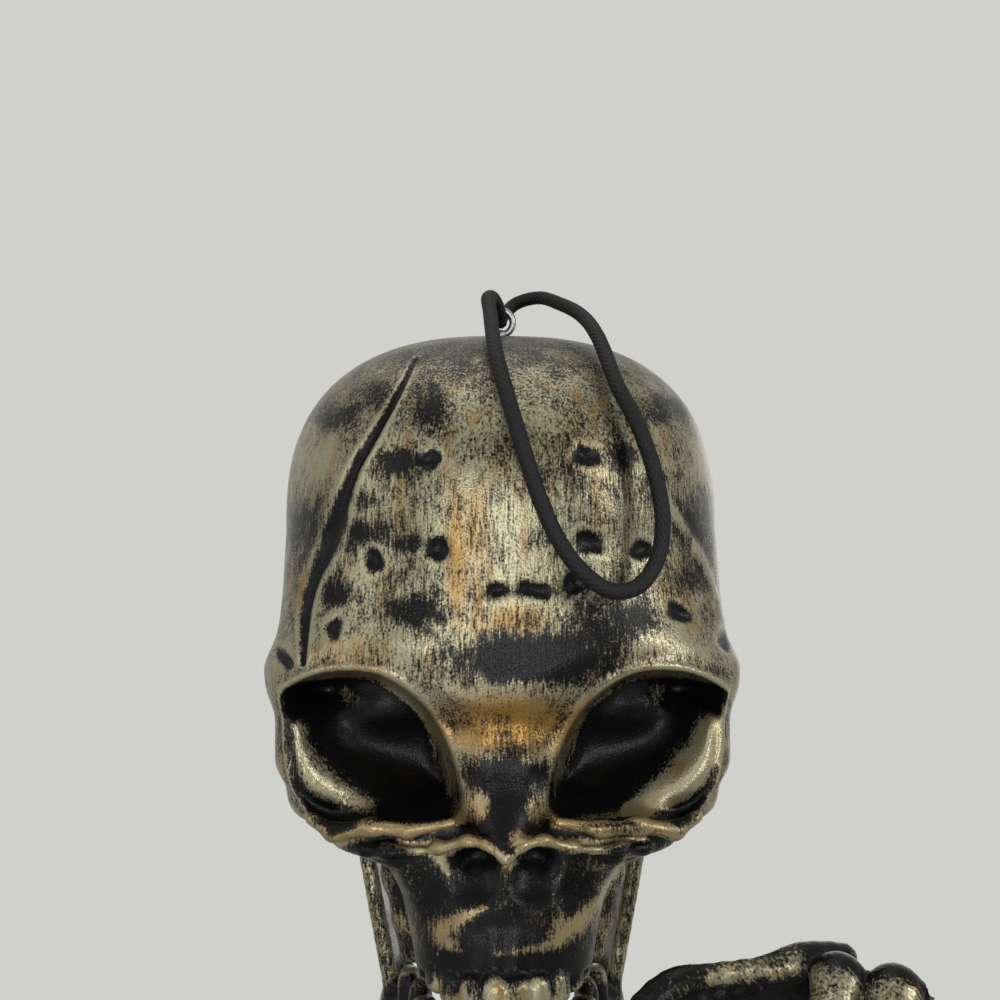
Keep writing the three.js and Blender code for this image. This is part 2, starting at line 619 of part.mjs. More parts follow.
// Lower spine and pelvis
function sacrum() {
  const level = (z, half, y, depth) => [
    [half, y - depth], [half, y + depth * 0.4], [half * 0.35, y + depth], [-half * 0.35, y + depth],
    [-half, y + depth * 0.4], [-half, y - depth], [0, y - depth * 1.25],
  ].map(([x, d]) => new THREE.Vector3(x, d, z));
  return loft([
    level(SACRUM_Z + 6, SACRUM_HALF_WIDTH - 4, 49, 11), level(SACRUM_Z - 6, SACRUM_HALF_WIDTH, 51, 12),
    level(SACRUM_Z - 34, SACRUM_HALF_WIDTH - 1, 57, 10), level(SACRUM_Z - 62, 12, 61, 7),
    level(SACRUM_Z - 84, 6, 57, 4), level(SACRUM_Z - 98, 2.5, 50, 2.5),
  ]);
}

const PELVIS_SCREW = [0, 51, SACRUM_Z - 22];

function lowerSpine() {
  const lumbarY = (share) => spineY(1) - 5 * Math.sin(Math.PI * share) + 3 * share;
  const peg = disc('z', [0, spineY(1), 0], 6, SPINE_FOOT_Z - 10, SPINE_FOOT_Z + 12, 10);
  const column = spineColumn(SPINE_FOOT_Z - GAP, SACRUM_Z + 4, LUMBAR_COUNT, lumbarY, 15);
  const wings = Array.from({ length: LUMBAR_COUNT }, (unused, i) => {
    const z = SPINE_FOOT_Z - 9 - (i * (SPINE_FOOT_Z - SACRUM_Z)) / LUMBAR_COUNT;
    const reach = 31 - 1.5 * i;
    return spur([-reach, 54, z], [reach, 54, z], 3, 3);
  });
  const lumbar = cut(join(column, wings, sacrum()), box([-FAR, FAR], [-FAR, FAR], [SPINE_FOOT_Z - GAP, FAR]));
  return cut(
    join(lumbar, peg),
    disc('x', PELVIS_SCREW, 2.2 + PIN_FIT, -60, 60, 6),
  );
}

const HIP_BOSS_RADIUS = 21;
const HIP_FACE_X = HIP_X - 18;
const HIP_PEG = 8;
const PUBIS = [7, -40, HIP_Z - 12];
const PUBIC_AXIS = [0, PUBIS[1], PUBIS[2]];
const PUBIC_SCREW_SEAT = PUBIS[0] + 5.5;
const SACRUM_FACE_X = SACRUM_HALF_WIDTH + GAP;
const PELVIS_SCREW_SEAT = SACRUM_FACE_X + 11;

function hipWing() {
  const lower = new THREE.CatmullRomCurve3([
    [22, 46, SACRUM_Z - 50], [48, 14, HIP_Z + 18], [66, -8, HIP_Z + 14], [84, -32, HIP_Z + 40],
  ].map(vec));
  const upper = new THREE.CatmullRomCurve3([
    [24, 60, SACRUM_Z - 6], [72, 42, HIP_Z + 108], [112, -2, HIP_Z + 102], [102, -44, HIP_Z + 66],
  ].map(vec));
  const steps = 6;
  return loft(Array.from({ length: steps + 1 }, (unused, s) => {
    const t = s / steps;
    const low = lower.getPoint(t);
    const high = upper.getPoint(t);
    const along = upper.getTangent(t);
    const rise = high.clone().sub(low).normalize();
    const out = new THREE.Vector3().crossVectors(rise, along).normalize();
    const mid = low.clone().lerp(high, 0.5).addScaledVector(out, 5);
    const place = (point, depth) => point.clone().addScaledVector(out, depth);
    return [
      place(low, -4.5), place(mid, -2.5), place(high, -5), high.clone().addScaledVector(rise, 3),
      place(high, 5), place(mid, 2.5), place(low, 4.5),
    ];
  }));
}

function hipBone() {
  const body = join(
    hipWing(),
    disc('x', [0, HIP_Y, HIP_Z], HIP_BOSS_RADIUS, HIP_FACE_X - 24, HIP_FACE_X, 12),
    ball([SACRUM_FACE_X + 5, PELVIS_SCREW[1], PELVIS_SCREW[2]], [9, 12, 22], 2.4),
    limb([[54, -6, HIP_Z + 4, 10], [30, -31, HIP_Z - 4, 7], [8, -40, HIP_Z - 8, 7.5]], { round: false }),
    ball(PUBIS, [8, 7.5, 13], 2.4),
    limb([
      [54, 14, HIP_Z - 10, 10], [50, 22, HIP_Z - 34, 9], [40, 12, HIP_Z - 50, 8.5], [24, -14, HIP_Z - 40, 6],
      [8, -37, HIP_Z - 20, 5.5],
    ], { up: [0, 1, 0], round: false }),
  );
  return cut(
    body,
    disc('x', [0, HIP_Y, HIP_Z], LEG_HINGE.radius + 9, HIP_FACE_X, HIP_FACE_X + 60, 12),
    disc('x', [0, HIP_Y, HIP_Z], HIP_PEG + PIN_FIT, HIP_FACE_X - HUB_PEG_LENGTH - 2, HIP_FACE_X + 1, 12),
    box([-FAR, SACRUM_FACE_X], [20, FAR], [-FAR * 3, 0]),
    box([-FAR, GAP / 2], [-FAR, FAR], [-FAR * 3, 0]),
    disc('x', PELVIS_SCREW, 2.2 + PIN_FIT, 0, 60, 6),
    disc('x', PELVIS_SCREW, 5.6, PELVIS_SCREW_SEAT, 70),
    disc('x', PUBIC_AXIS, 2 + PIN_FIT, -30, 30, 6),
    disc('x', PUBIC_AXIS, 4.8, PUBIC_SCREW_SEAT, 30),
  );
}

// Hinges: a fork of two ears around a tongue, on the X or Y axis
function forkEars(axis, centre, radius, inner, outer, stem) {
  const ears = [disc(axis, centre, radius, inner, outer), disc(axis, centre, radius, -outer, -inner)];
  const webs = [[inner, outer], [-outer, -inner]].map((span) => stem(span));
  return join(ears, webs);
}

// Hub that turns in a boss and carries the fork for the lift hinge, which is at its own origin
function hub(faceX, peg, { radius, inner, outer, pin: pinRadius }) {
  const origin = [0, 0, 0];
  const fork = forkEars('y', origin, radius, inner, outer, (span) =>
    box([faceX + 2, 0], span, [-radius * 0.85, radius * 0.85]));
  const body = join(
    disc('x', origin, peg, faceX - HUB_PEG_LENGTH, faceX + 3, 12),
    disc('x', origin, radius + 3, faceX + GAP, faceX + 5),
    fork,
  );
  return cut(body, disc('y', origin, pinRadius + PIN_FIT, -40, 40));
}

const ARM_HINGE = { radius: 11, inner: 5.2, outer: 10.4, pin: 2.8 };
const ELBOW_HINGE = { radius: 12, inner: 5.2, outer: 10.4, pin: 2.8 };
const WRIST_HINGE = { radius: 8, inner: 4.4, outer: 8.2, pin: 2 };
const LEG_HINGE = { radius: 13, inner: 6.2, outer: 12, pin: 3.2 };
const KNEE_HINGE = { radius: 15, inner: 6.2, outer: 12.6, pin: 3.2 };
const ANKLE_HINGE = { radius: 10, inner: 5.2, outer: 10, pin: 2.6 };

const hingePin = (axis, centre, hinge) => pin(axis, centre, hinge.pin, hinge.outer, hinge.pin + 2.6);
const hingeHole = (axis, centre, hinge) => disc(axis, centre, hinge.pin + PIN_FIT, -40, 40);
const tongueHalf = (hinge) => hinge.inner - GAP;
const tongue = (axis, centre, hinge) =>
  disc(axis, centre, hinge.radius, -tongueHalf(hinge), tongueHalf(hinge));
const besideTongue = (hinge) => bothSides(() =>
  disc('x', [0, 0, 0], hinge.radius + 1.4, tongueHalf(hinge), 40));
const forkSlot = (axis, centre, hinge) => disc(axis, centre, hinge.radius + 1.4, -hinge.inner, hinge.inner);

// Lower end of a long bone: fork on the X axis, offset from the shaft by the given Y
function lowerFork(hinge, offset, z, reach) {
  const edge = Math.sign(offset);
  const y = [-edge * 7, offset + edge * 5].sort((a, b) => a - b);
  const stem = (span) => box(span, y, [z, z + reach]);
  return forkEars('x', [0, offset, z], hinge.radius, hinge.inner, hinge.outer, stem);
}

// Arms
function upperArm() {
  const end = -UPPER_ARM_LENGTH;
  const elbow = [0, -ELBOW_OFFSET, end];
  const head = join(
    tongue('y', [0, 0, 0], ARM_HINGE),
    box([-8, 8], [-tongueHalf(ARM_HINGE), tongueHalf(ARM_HINGE)], [-26, 0]),
    shaft([
      [-15, 7], [-21, 11.5], [-38, 11.5], [-60, 8.4], [-120, 7.8],
      [end + 62, 8], [end + 36, 10], [end + 16, 10.5],
    ]),
  );
  const fork = turnedZ(toGeometry(lowerFork(ELBOW_HINGE, -ELBOW_OFFSET, end, 34)), -ELBOW_TURN);
  const slot = turnedZ(forkSlot('x', elbow, ELBOW_HINGE), -ELBOW_TURN);
  const between = [-ELBOW_HINGE.inner, ELBOW_HINGE.inner];
  const rear = turnedZ(box(between, [-40, 40], [end - 20, end + 14]), -ELBOW_TURN);
  return cut(
    cut(join(head, fork), slot, rear),
    hingeHole('y', [0, 0, 0], ARM_HINGE), turnedZ(hingeHole('x', elbow, ELBOW_HINGE), -ELBOW_TURN),
  );
}

function forearm() {
  const back = ELBOW_OFFSET;
  const end = -FOREARM_LENGTH;
  const wrist = [0, back, end];
  const bones = [1, -1].map((side) => limb([
    [side * 4, back, -24, 6], [side * 8.5, back, -80, 4.8],
    [side * 8, back, -150, 4.6], [side * 6, back, end + 24, 6],
  ], { up: [0, 1, 0], round: false }));
  const body = join(
    tongue('x', [0, 0, 0], ELBOW_HINGE),
    box([-tongueHalf(ELBOW_HINGE), tongueHalf(ELBOW_HINGE)], [-2, back + 6], [-30, 0]),
    ball([0, back, -27], [10.5, 8, 12], 2.2),
    bones,
    ball([0, back, end + 22], [12.5, 8, 12], 2.2),
    forkEars('x', wrist, WRIST_HINGE.radius, WRIST_HINGE.inner, WRIST_HINGE.outer, (span) =>
      moved(box(span, [-6, 6], [0, 18]), 0, back, end)),
  );
  return cut(body, forkSlot('x', wrist, WRIST_HINGE), hingeHole('x', [0, 0, 0], ELBOW_HINGE),
    hingeHole('x', wrist, WRIST_HINGE));
}

// Finger: from the wrist bones over the knuckle, bent towards the palm (+Y) by the given angles
function finger(root, knuckle, lengths, bends, radius) {
  const stations = [[...root, radius], [...knuckle, radius * 1.25]];
  let [x, y, z] = knuckle;
  lengths.forEach((length, i) => {
    const bend = THREE.MathUtils.degToRad(bends[i]);
    const step = [0, Math.sin(bend), -Math.cos(bend)].map((c) => c * length);
    y += step[1];
    z += step[2];
    stations.push([x, y, z, i === lengths.length - 1 ? radius * 0.7 : radius * 1.12]);
  });
  return limb(stations, { sides: 5, up: [1, 0, 0] });
}

function hand() {
  const bends = [88, 154, 186];
  const fingers = [
    finger([-9, 0, -24], [-18.5, 0, -PALM_LENGTH], [36, 23, 17], bends, 4.5),
    finger([-3, 0, -26], [-7.8, -1, -PALM_LENGTH + 1], [37, 25, 18], bends, 4.6),
    finger([3, 0, -26], [3, -0.5, -PALM_LENGTH + 5], [34, 23, 17], bends, 4.4),
    finger([9, 0, -24], [13.5, 0.5, -PALM_LENGTH + 12], [28, 18, 14], bends, 4),
  ];
  const thumb = limb([
    [-7, 3, -20, 5], [-28, 20, -27, 3.7], [-46, 37, -36.5, 4.4], [-50.3, 45, -48, 3.6],
    [-46, 46, -56, 3.4], [-40.5, 43.5, -59.5, 3.1], [-32, 38, -63.8, 3.1], [-26, 34, -68.2, 3.6],
    [-20, 28, -71.5, 2.8],
  ], { sides: 6, up: [0, 1, 0] });
  const web = ball([-3, 1, -40], [13, 3, 18], 2.2);
  const tilted = [...fingers, thumb, web, ball([0, 0, -25], [15, 7.5, 11], 2.3)]
    .map((shape) => turnedY(shape, -HAND_TILT));
  const body = join(
    tilted, tongue('x', [0, 0, 0], WRIST_HINGE),
    box([-tongueHalf(WRIST_HINGE), tongueHalf(WRIST_HINGE)], [-6, 6], [-22, 0]),
  );
  return cut(body, besideTongue(WRIST_HINGE), hingeHole('x', [0, 0, 0], WRIST_HINGE));
}

// Legs
function thigh() {
  const end = -THIGH_LENGTH;
  const knee = [0, KNEE_OFFSET, end];
  const body = join(
    tongue('y', [0, 0, 0], LEG_HINGE),
    box([-9, 9], [-tongueHalf(LEG_HINGE), tongueHalf(LEG_HINGE)], [-32, 0]),
    shaft([
      [-17.5, 8], [-25, 14], [-44, 13.5], [-78, 10], [-200, 9.2],
      [end + 84, 9.6], [end + 46, 13], [end + 20, 13.5],
    ]),
    ball([9, 0, -36], [9.5, 10, 14]),
    lowerFork(KNEE_HINGE, KNEE_OFFSET, end, 40),
  );
  return cut(
    body, forkSlot('x', knee, KNEE_HINGE),
    box([-KNEE_HINGE.inner, KNEE_HINGE.inner], [-40, 40], [end - 30, end + 17]),
    hingeHole('y', [0, 0, 0], LEG_HINGE), hingeHole('x', knee, KNEE_HINGE),
  );
}

function shin() {
  const front = -KNEE_OFFSET;
  const end = -SHIN_LENGTH;
  const ankle = [0, front, end];
  const body = join(
    tongue('x', [0, 0, 0], KNEE_HINGE),
    box([-tongueHalf(KNEE_HINGE), tongueHalf(KNEE_HINGE)], [front - 8, 4], [-36, 0]),
    moved(shaft([
      [-18, 12], [-24, 15.5], [-36, 15], [-66, 10.5], [-180, 8.6],
      [end + 70, 8.6], [end + 32, 11.5], [end + 13, 11],
    ]), 0, front, 0),
    limb([
      [11, front + 6, -32, 5], [17.5, front + 7, -70, 4], [17, front + 7, -190, 3.8],
      [15, front + 6, end + 60, 4.2], [10, front + 3, end + 22, 5.2],
    ], { up: [0, 1, 0], round: false }),
    forkEars('x', ankle, ANKLE_HINGE.radius, ANKLE_HINGE.inner, ANKLE_HINGE.outer, (span) =>
      moved(box(span, [-8, 8], [0, 24]), 0, front, end)),
  );
  return cut(body, forkSlot('x', ankle, ANKLE_HINGE), hingeHole('x', [0, 0, 0], KNEE_HINGE),
    hingeHole('x', ankle, ANKLE_HINGE));
}

function foot() {
  const sole = -SOLE_DROP;
  const rays = [-18, -8, 1.5, 10.5, 19].map((toe, i) => {
    const reach = [-118, -114, -108, -100, -91][i];
    const size = i === 0 ? 6.8 : 5;
    return limb([
      [toe * 0.45, -18, sole + 27, size + 1.5], [toe, reach + 38, sole + 9, size + 1],
      [toe * 1.08, reach, sole + 6, size],
    ], { sides: 5 });
  });
  const body = join(
    tongue('x', [0, 0, 0], ANKLE_HINGE),
    box([-tongueHalf(ANKLE_HINGE), tongueHalf(ANKLE_HINGE)], [-7, 7], [-24, 0]),
    ball([0, -2, sole + 32], [15, 24, 15], 2.3),
    ball([0, 20, sole + 15], [13.5, 19, 21], 2.4),
    ball([0, -8, sole + 20], [13, 24, 16], 2.2),
    rays,
  );
  const underSole = box([-FAR, FAR], [-FAR, FAR], [sole - FAR, sole]);
  return cut(body, besideTongue(ANKLE_HINGE), underSole, hingeHole('x', [0, 0, 0], ANKLE_HINGE));
}

// Assembly
const SIDES = [['left', 1], ['right', -1]];
const skeleton = new THREE.Group();
skeleton.name = 'posable_skeleton';

function add(group, name, body, look, side = 1) {
  const geometry = toGeometry(asSolid(body));
  const shown = side > 0 ? geometry : toGeometry(solid(flipX(geometry)));
  const mesh = new THREE.Mesh(shown, look);
  mesh.name = name;
  group.add(mesh);
}

function frame(parent, name, position, turn) {
  const group = new THREE.Group();
  group.name = name;
  group.position.set(...position);
  group.rotation.set(...turn.map(THREE.MathUtils.degToRad));
  parent.add(group);
  return group;
}

function addHead() {
  add(skeleton, 'skull_face', skullFace, bone());
  add(skeleton, 'skull_back', skullBack, bone());
  add(skeleton, 'jaw', jaw(), bone());
  add(skeleton, 'hanging_eye', hangingEye(), steel());
  add(skeleton, 'hanging_cord', hangingCord(), cordBlack());
  SIDES.forEach(([word, side]) => {
    const skullScrew = screw('y', skullScrewAt(side), 2, -15, SKULL_SCREW_SEAT_Y + GAP, 4.6);
    const jawScrew = screw('x', JAW_AXIS, 2, JAW_SEAT_X - 8, JAW_SEAT_X + JAW_EAR + 2 * GAP, 4.5);
    add(skeleton, `skull_screw_${word}`, skullScrew, steel());
    add(skeleton, `jaw_screw_${word}`, jawScrew, steel(), side);
  });
}

function addTrunk() {
  add(skeleton, 'neck', neck(), bone());
  add(skeleton, 'neck_pin', pin('x', NOD_AXIS, NECK_HINGE.pin, NECK_HINGE.outer, 5.5), steel());
  add(skeleton, 'ribcage_back', ribcageBack(), bone());
  add(skeleton, 'ribcage_front', ribcageFront(), bone());
  CHEST_SCREW_RIBS.forEach((i) => SIDES.forEach(([word, side]) => {
    const level = i === CHEST_SCREW_RIBS[0] ? 'upper' : 'lower';
    add(skeleton, `chest_screw_${level}_${word}`, chestScrew(i), steel(), side);
  }));
  add(skeleton, 'lower_spine', lowerSpine(), bone());
  SIDES.forEach(([word, side]) => {
    const pelvisScrew = screw('x', PELVIS_SCREW, 2.2, 10, PELVIS_SCREW_SEAT + GAP, 4.8);
    add(skeleton, `hip_bone_${word}`, hipBone(), bone(), side);
    add(skeleton, `pelvis_screw_${word}`, pelvisScrew, steel(), side);
  });
  add(skeleton, 'pubic_screw', screw('x', PUBIC_AXIS, 2, -9, PUBIC_SCREW_SEAT + GAP, 4.2), steel());
}

function addArm(word, side, pose) {
  const shoulderAt = [side * SHOULDER_X, SHOULDER_Y, SHOULDER_Z];
  const elbowAt = [0, -ELBOW_OFFSET, -UPPER_ARM_LENGTH];
  const wristAt = [0, ELBOW_OFFSET, -FOREARM_LENGTH];
  const swing = frame(skeleton, `${word}_shoulder_swing`, shoulderAt, [-pose.swing, 0, 0]);
  const shoulderHub = hub(BOSS_FACE_X - SHOULDER_X, SHOULDER_PEG, ARM_HINGE);
  add(swing, `shoulder_hub_${word}`, shoulderHub, bone(), side);
  add(swing, `shoulder_pin_${word}`, hingePin('y', [0, 0, 0], ARM_HINGE), steel(), side);
  const lift = frame(swing, `${word}_shoulder_lift`, [0, 0, 0], [0, -side * pose.lift, 0]);
  add(lift, `upper_arm_${word}`, upperArm(), bone(), side);
  const turn = frame(lift, '', [0, 0, 0], [0, 0, -side * ELBOW_TURN]);
  add(turn, `elbow_pin_${word}`, hingePin('x', elbowAt, ELBOW_HINGE), steel(), side);
  const elbow = frame(turn, `${word}_elbow`, elbowAt, [-pose.elbow, 0, 0]);
  add(elbow, `forearm_${word}`, forearm(), bone(), side);
  add(elbow, `wrist_pin_${word}`, hingePin('x', wristAt, WRIST_HINGE), steel(), side);
  const wrist = frame(elbow, `${word}_wrist`, wristAt, [pose.wrist, 0, 0]);
  add(wrist, `hand_${word}`, hand(), bone(), side);
}

function addLeg(word, side) {
  const kneeAt = [0, KNEE_OFFSET, -THIGH_LENGTH];
  const ankleAt = [0, -KNEE_OFFSET, -SHIN_LENGTH];
  const hip = frame(skeleton, `${word}_hip`, [side * HIP_X, HIP_Y, HIP_Z], [0, 0, 0]);
  const hipHub = hub(HIP_FACE_X - HIP_X, HIP_PEG, LEG_HINGE);
  add(hip, `hip_hub_${word}`, hipHub, bone(), side);
  add(hip, `hip_pin_${word}`, hingePin('y', [0, 0, 0], LEG_HINGE), steel(), side);
  add(hip, `thigh_${word}`, thigh(), bone(), side);
  add(hip, `knee_pin_${word}`, hingePin('x', kneeAt, KNEE_HINGE), steel(), side);
  const knee = frame(hip, `${word}_knee`, kneeAt, [0, 0, 0]);
  add(knee, `shin_${word}`, shin(), bone(), side);
  add(knee, `ankle_pin_${word}`, hingePin('x', ankleAt, ANKLE_HINGE), steel(), side);
  const ankle = frame(knee, `${word}_ankle`, ankleAt, [0, 0, 0]);
  add(ankle, `foot_${word}`, foot(), bone(), side);
}

addHead();
addTrunk();
addArm('left', 1, LEFT_ARM);
addArm('right', -1, RIGHT_ARM);
addLeg('left', 1);
addLeg('right', -1);

export default skeleton;
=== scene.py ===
import json
import math
import bpy
import numpy as np
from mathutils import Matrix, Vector


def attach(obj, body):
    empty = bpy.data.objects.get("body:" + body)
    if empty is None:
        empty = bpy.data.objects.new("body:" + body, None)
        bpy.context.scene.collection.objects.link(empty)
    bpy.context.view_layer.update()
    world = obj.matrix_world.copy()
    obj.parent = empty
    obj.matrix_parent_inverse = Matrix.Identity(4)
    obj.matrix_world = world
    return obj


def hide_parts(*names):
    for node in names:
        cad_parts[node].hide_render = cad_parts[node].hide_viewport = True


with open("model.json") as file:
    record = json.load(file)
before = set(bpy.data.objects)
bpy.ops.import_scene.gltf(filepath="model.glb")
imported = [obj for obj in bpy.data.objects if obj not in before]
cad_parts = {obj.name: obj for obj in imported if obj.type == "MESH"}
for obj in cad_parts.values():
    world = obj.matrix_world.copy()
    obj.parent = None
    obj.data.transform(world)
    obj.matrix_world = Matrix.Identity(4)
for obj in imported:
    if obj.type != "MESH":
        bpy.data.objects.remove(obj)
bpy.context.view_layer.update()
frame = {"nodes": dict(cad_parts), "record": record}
scene = bpy.context.scene
scene.view_settings.view_transform = "Standard"
mm = 0.001  # the part is drawn in millimetres and shown in metres

# camera, level with the brow and close in front of the face, in millimetres and degrees
cameraSetup = dict(eye=(-6, -338, -55.9), target=(0.0, 8, -55.9), fieldOfView=50.0, sensor=36)
cameraData = bpy.data.cameras.new("camera")
cameraData.sensor_width = cameraSetup["sensor"]
cameraData.lens = cameraSetup["sensor"] / 2 / math.tan(math.radians(cameraSetup["fieldOfView"] / 2))
camera = bpy.data.objects.new("camera", cameraData)
scene.collection.objects.link(camera)
camera.location = Vector(cameraSetup["eye"]) * mm
camera.rotation_mode = "QUATERNION"
camera.rotation_quaternion = (Vector(cameraSetup["target"]) - Vector(cameraSetup["eye"])).to_track_quat("-Z", "Y")
scene.camera = camera
print("camera set")


def linear(hexCode):
    parts = [int(hexCode[i:i + 2], 16) / 255 for i in (1, 3, 5)]
    return (*[c / 12.92 if c <= 0.04045 else ((c + 0.055) / 1.055) ** 2.4 for c in parts], 1.0)


def add(tree, kind, inputs=(), out=0, **settings):  # one node with its settings, and values or links for its sockets
    node = tree.nodes.new("ShaderNode" + kind)
    for name, value in settings.items():
        setattr(node, name, value)
    for socket, value in dict(inputs).items():
        if isinstance(value, bpy.types.NodeSocket):
            tree.links.new(value, node.inputs[socket])
        else:
            node.inputs[socket].default_value = value
    return node.outputs[out]


def newMaterial(name):
    material = bpy.data.materials.new(name)
    material.use_nodes = True
    tree = material.node_tree
    return material, tree, tree.nodes["Principled BSDF"]


# mesh helpers on plain number arrays
def meshObject(name, verts, faces, material, **attributes):
    mesh = bpy.data.meshes.new(name)
    mesh.vertices.add(len(verts))
    mesh.vertices.foreach_set("co", (np.asarray(verts, np.float32) * mm).ravel())
    mesh.loops.add(faces.size)
    mesh.loops.foreach_set("vertex_index", faces.astype(np.int32).ravel())
    mesh.polygons.add(len(faces))
    mesh.polygons.foreach_set("loop_start", np.arange(len(faces), dtype=np.int32) * faces.shape[1])
    mesh.polygons.foreach_set("use_smooth", np.ones(len(faces), bool))
    mesh.update(calc_edges=True)
    for label, values in attributes.items():
        vector = values.ndim == 2
        layer = mesh.attributes.new(label, "FLOAT_VECTOR" if vector else "FLOAT", "POINT")
        layer.data.foreach_set("vector" if vector else "value", values.astype(np.float32).ravel())
    mesh.materials.append(material)
    made = bpy.data.objects.new(name, mesh)
    scene.collection.objects.link(made)
    return made


def neighbours(faces, count):
    start = faces.ravel()
    end = np.roll(faces, -1, axis=1).ravel()
    return start, end, np.maximum(np.bincount(start, minlength=count) + np.bincount(end, minlength=count), 1)


def averaged(values, links):
    start, end, total = links
    out = np.empty_like(values)
    for k in range(values.shape[1]):
        column = np.ascontiguousarray(values[:, k])
        count = len(column)
        out[:, k] = (np.bincount(start, column[end], count) + np.bincount(end, column[start], count)) / total
    return out


def normalsOf(verts, faces):
    across = np.cross(verts[faces[:, 2]] - verts[faces[:, 0]], verts[faces[:, 3]] - verts[faces[:, 1]])
    out = np.zeros_like(verts)
    for k in range(3):
        for corner in range(4):
            out[:, k] += np.bincount(faces[:, corner], across[:, k], len(verts))
    return out / np.maximum(np.linalg.norm(out, axis=1, keepdims=True), 1e-9)


def softened(verts, links, rounds):  # rounds off the facets without drawing the shape in
    inward, outward = 0.5, 0.53
    for _ in range(rounds):
        verts = verts + inward * (averaged(verts, links) - verts)
        verts = verts - outward * (averaged(verts, links) - verts)
    return verts


def raisedEdges(verts, faces, links, rounds, reach):  # above 0 on ridges, below 0 in hollows
    flat = verts
    for _ in range(rounds):
        flat = averaged(flat, links)
    rise = ((verts - flat) * normalsOf(verts, faces)).sum(axis=1) / reach
    return np.clip(averaged(rise[:, None], links)[:, 0], -1, 1)


# solid shapes as fields of distances, in millimetres, below 0 inside
def softMin(a, b, soft):
    share = np.clip(0.5 + 0.5 * (b - a) / soft, 0, 1)
    return b + (a - b) * share - soft * share * (1 - share)


def softMax(a, b, soft):
    return -softMin(-a, -b, soft)


def newField(low, high, step):
    farAway = 50
    axes = [np.arange(a, b + step, step, dtype=np.float32) for a, b in zip(low, high)]
    return dict(axes=axes, step=step, values=np.full([len(axis) for axis in axes], farAway, np.float32))


def gridOf(field):  # x, y and z of a field, each along its own way
    return [axis.reshape(shape) for axis, shape in zip(field["axes"], ((-1, 1, 1), (1, -1, 1), (1, 1, -1)))]


def join(field, shape, soft):
    field["values"] = softMin(field["values"], shape.astype(np.float32), soft)


def carve(field, shape):
    field["values"] = np.maximum(field["values"], -shape).astype(np.float32)


def change(field, low, high, shape, soft, cut=False):
    margin = 2
    spans = []
    for axis, a, b in zip(field["axes"], low, high):
        first, last = np.searchsorted(axis, (a - soft - margin, b + soft + margin))
        spans.append(slice(max(int(first) - 1, 0), int(last) + 1))
    spans = tuple(spans)
    x, y, z = (axis[span] for axis, span in zip(field["axes"], spans))
    here = field["values"][spans]
    if here.size == 0:
        return
    there = shape(x[:, None, None], y[None, :, None], z[None, None, :])
    field["values"][spans] = softMax(here, -there, soft) if cut else softMin(here, there, soft)


def blob(field, centre, radii, power=2.0, soft=3.0, tilt=0.0, cut=False):
    for side in ((1, -1) if centre[0] else (1,)):
        turn = math.radians(tilt) * side

        def shape(x, y, z):
            u, v, w = x - centre[0] * side, y - centre[1], z - centre[2]
            along = np.abs((u * math.cos(turn) + w * math.sin(turn)) / radii[0])
            up = np.abs((w * math.cos(turn) - u * math.sin(turn)) / radii[2])
            ratio = (along ** power + np.abs(v / radii[1]) ** power + up ** power) ** (1 / power)
            return (ratio - 1) * min(radii)

        span = max(radii[0], radii[2]) if tilt else None
        reach = (span or radii[0], radii[1], span or radii[2])
        low = [centre[0] * side - reach[0], centre[1] - reach[1], centre[2] - reach[2]]
        change(field, low, [a + 2 * r for a, r in zip(low, reach)], shape, soft, cut)


def tube(field, stations, soft, tall=1.0, both=True):  # stations are x, y, z and radius
    for side in ((1, -1) if both and any(s[0] for s in stations) else (1,)):
        for a, b in zip(stations, stations[1:]):
            p, q = np.array(a[:3], float), np.array(b[:3], float)
            p[0] *= side
            q[0] *= side

            def shape(x, y, z):
                d = q - p
                weight = np.array((1, 1, tall * tall))
                share = (x - p[0]) * d[0] + (y - p[1]) * d[1] + (z - p[2]) * d[2] * weight[2]
                share = np.clip(share / (d * d * weight).sum(), 0, 1)
                gap = (x - p[0] - share * d[0]) ** 2 + (y - p[1] - share * d[1]) ** 2
                gap = gap + ((z - p[2] - share * d[2]) * tall) ** 2
                return np.sqrt(gap) - (a[3] + (b[3] - a[3]) * share)

            wide = max(a[3], b[3]) / min(tall, 1)
            change(field, np.minimum(p, q) - wide, np.maximum(p, q) + wide, shape, soft)


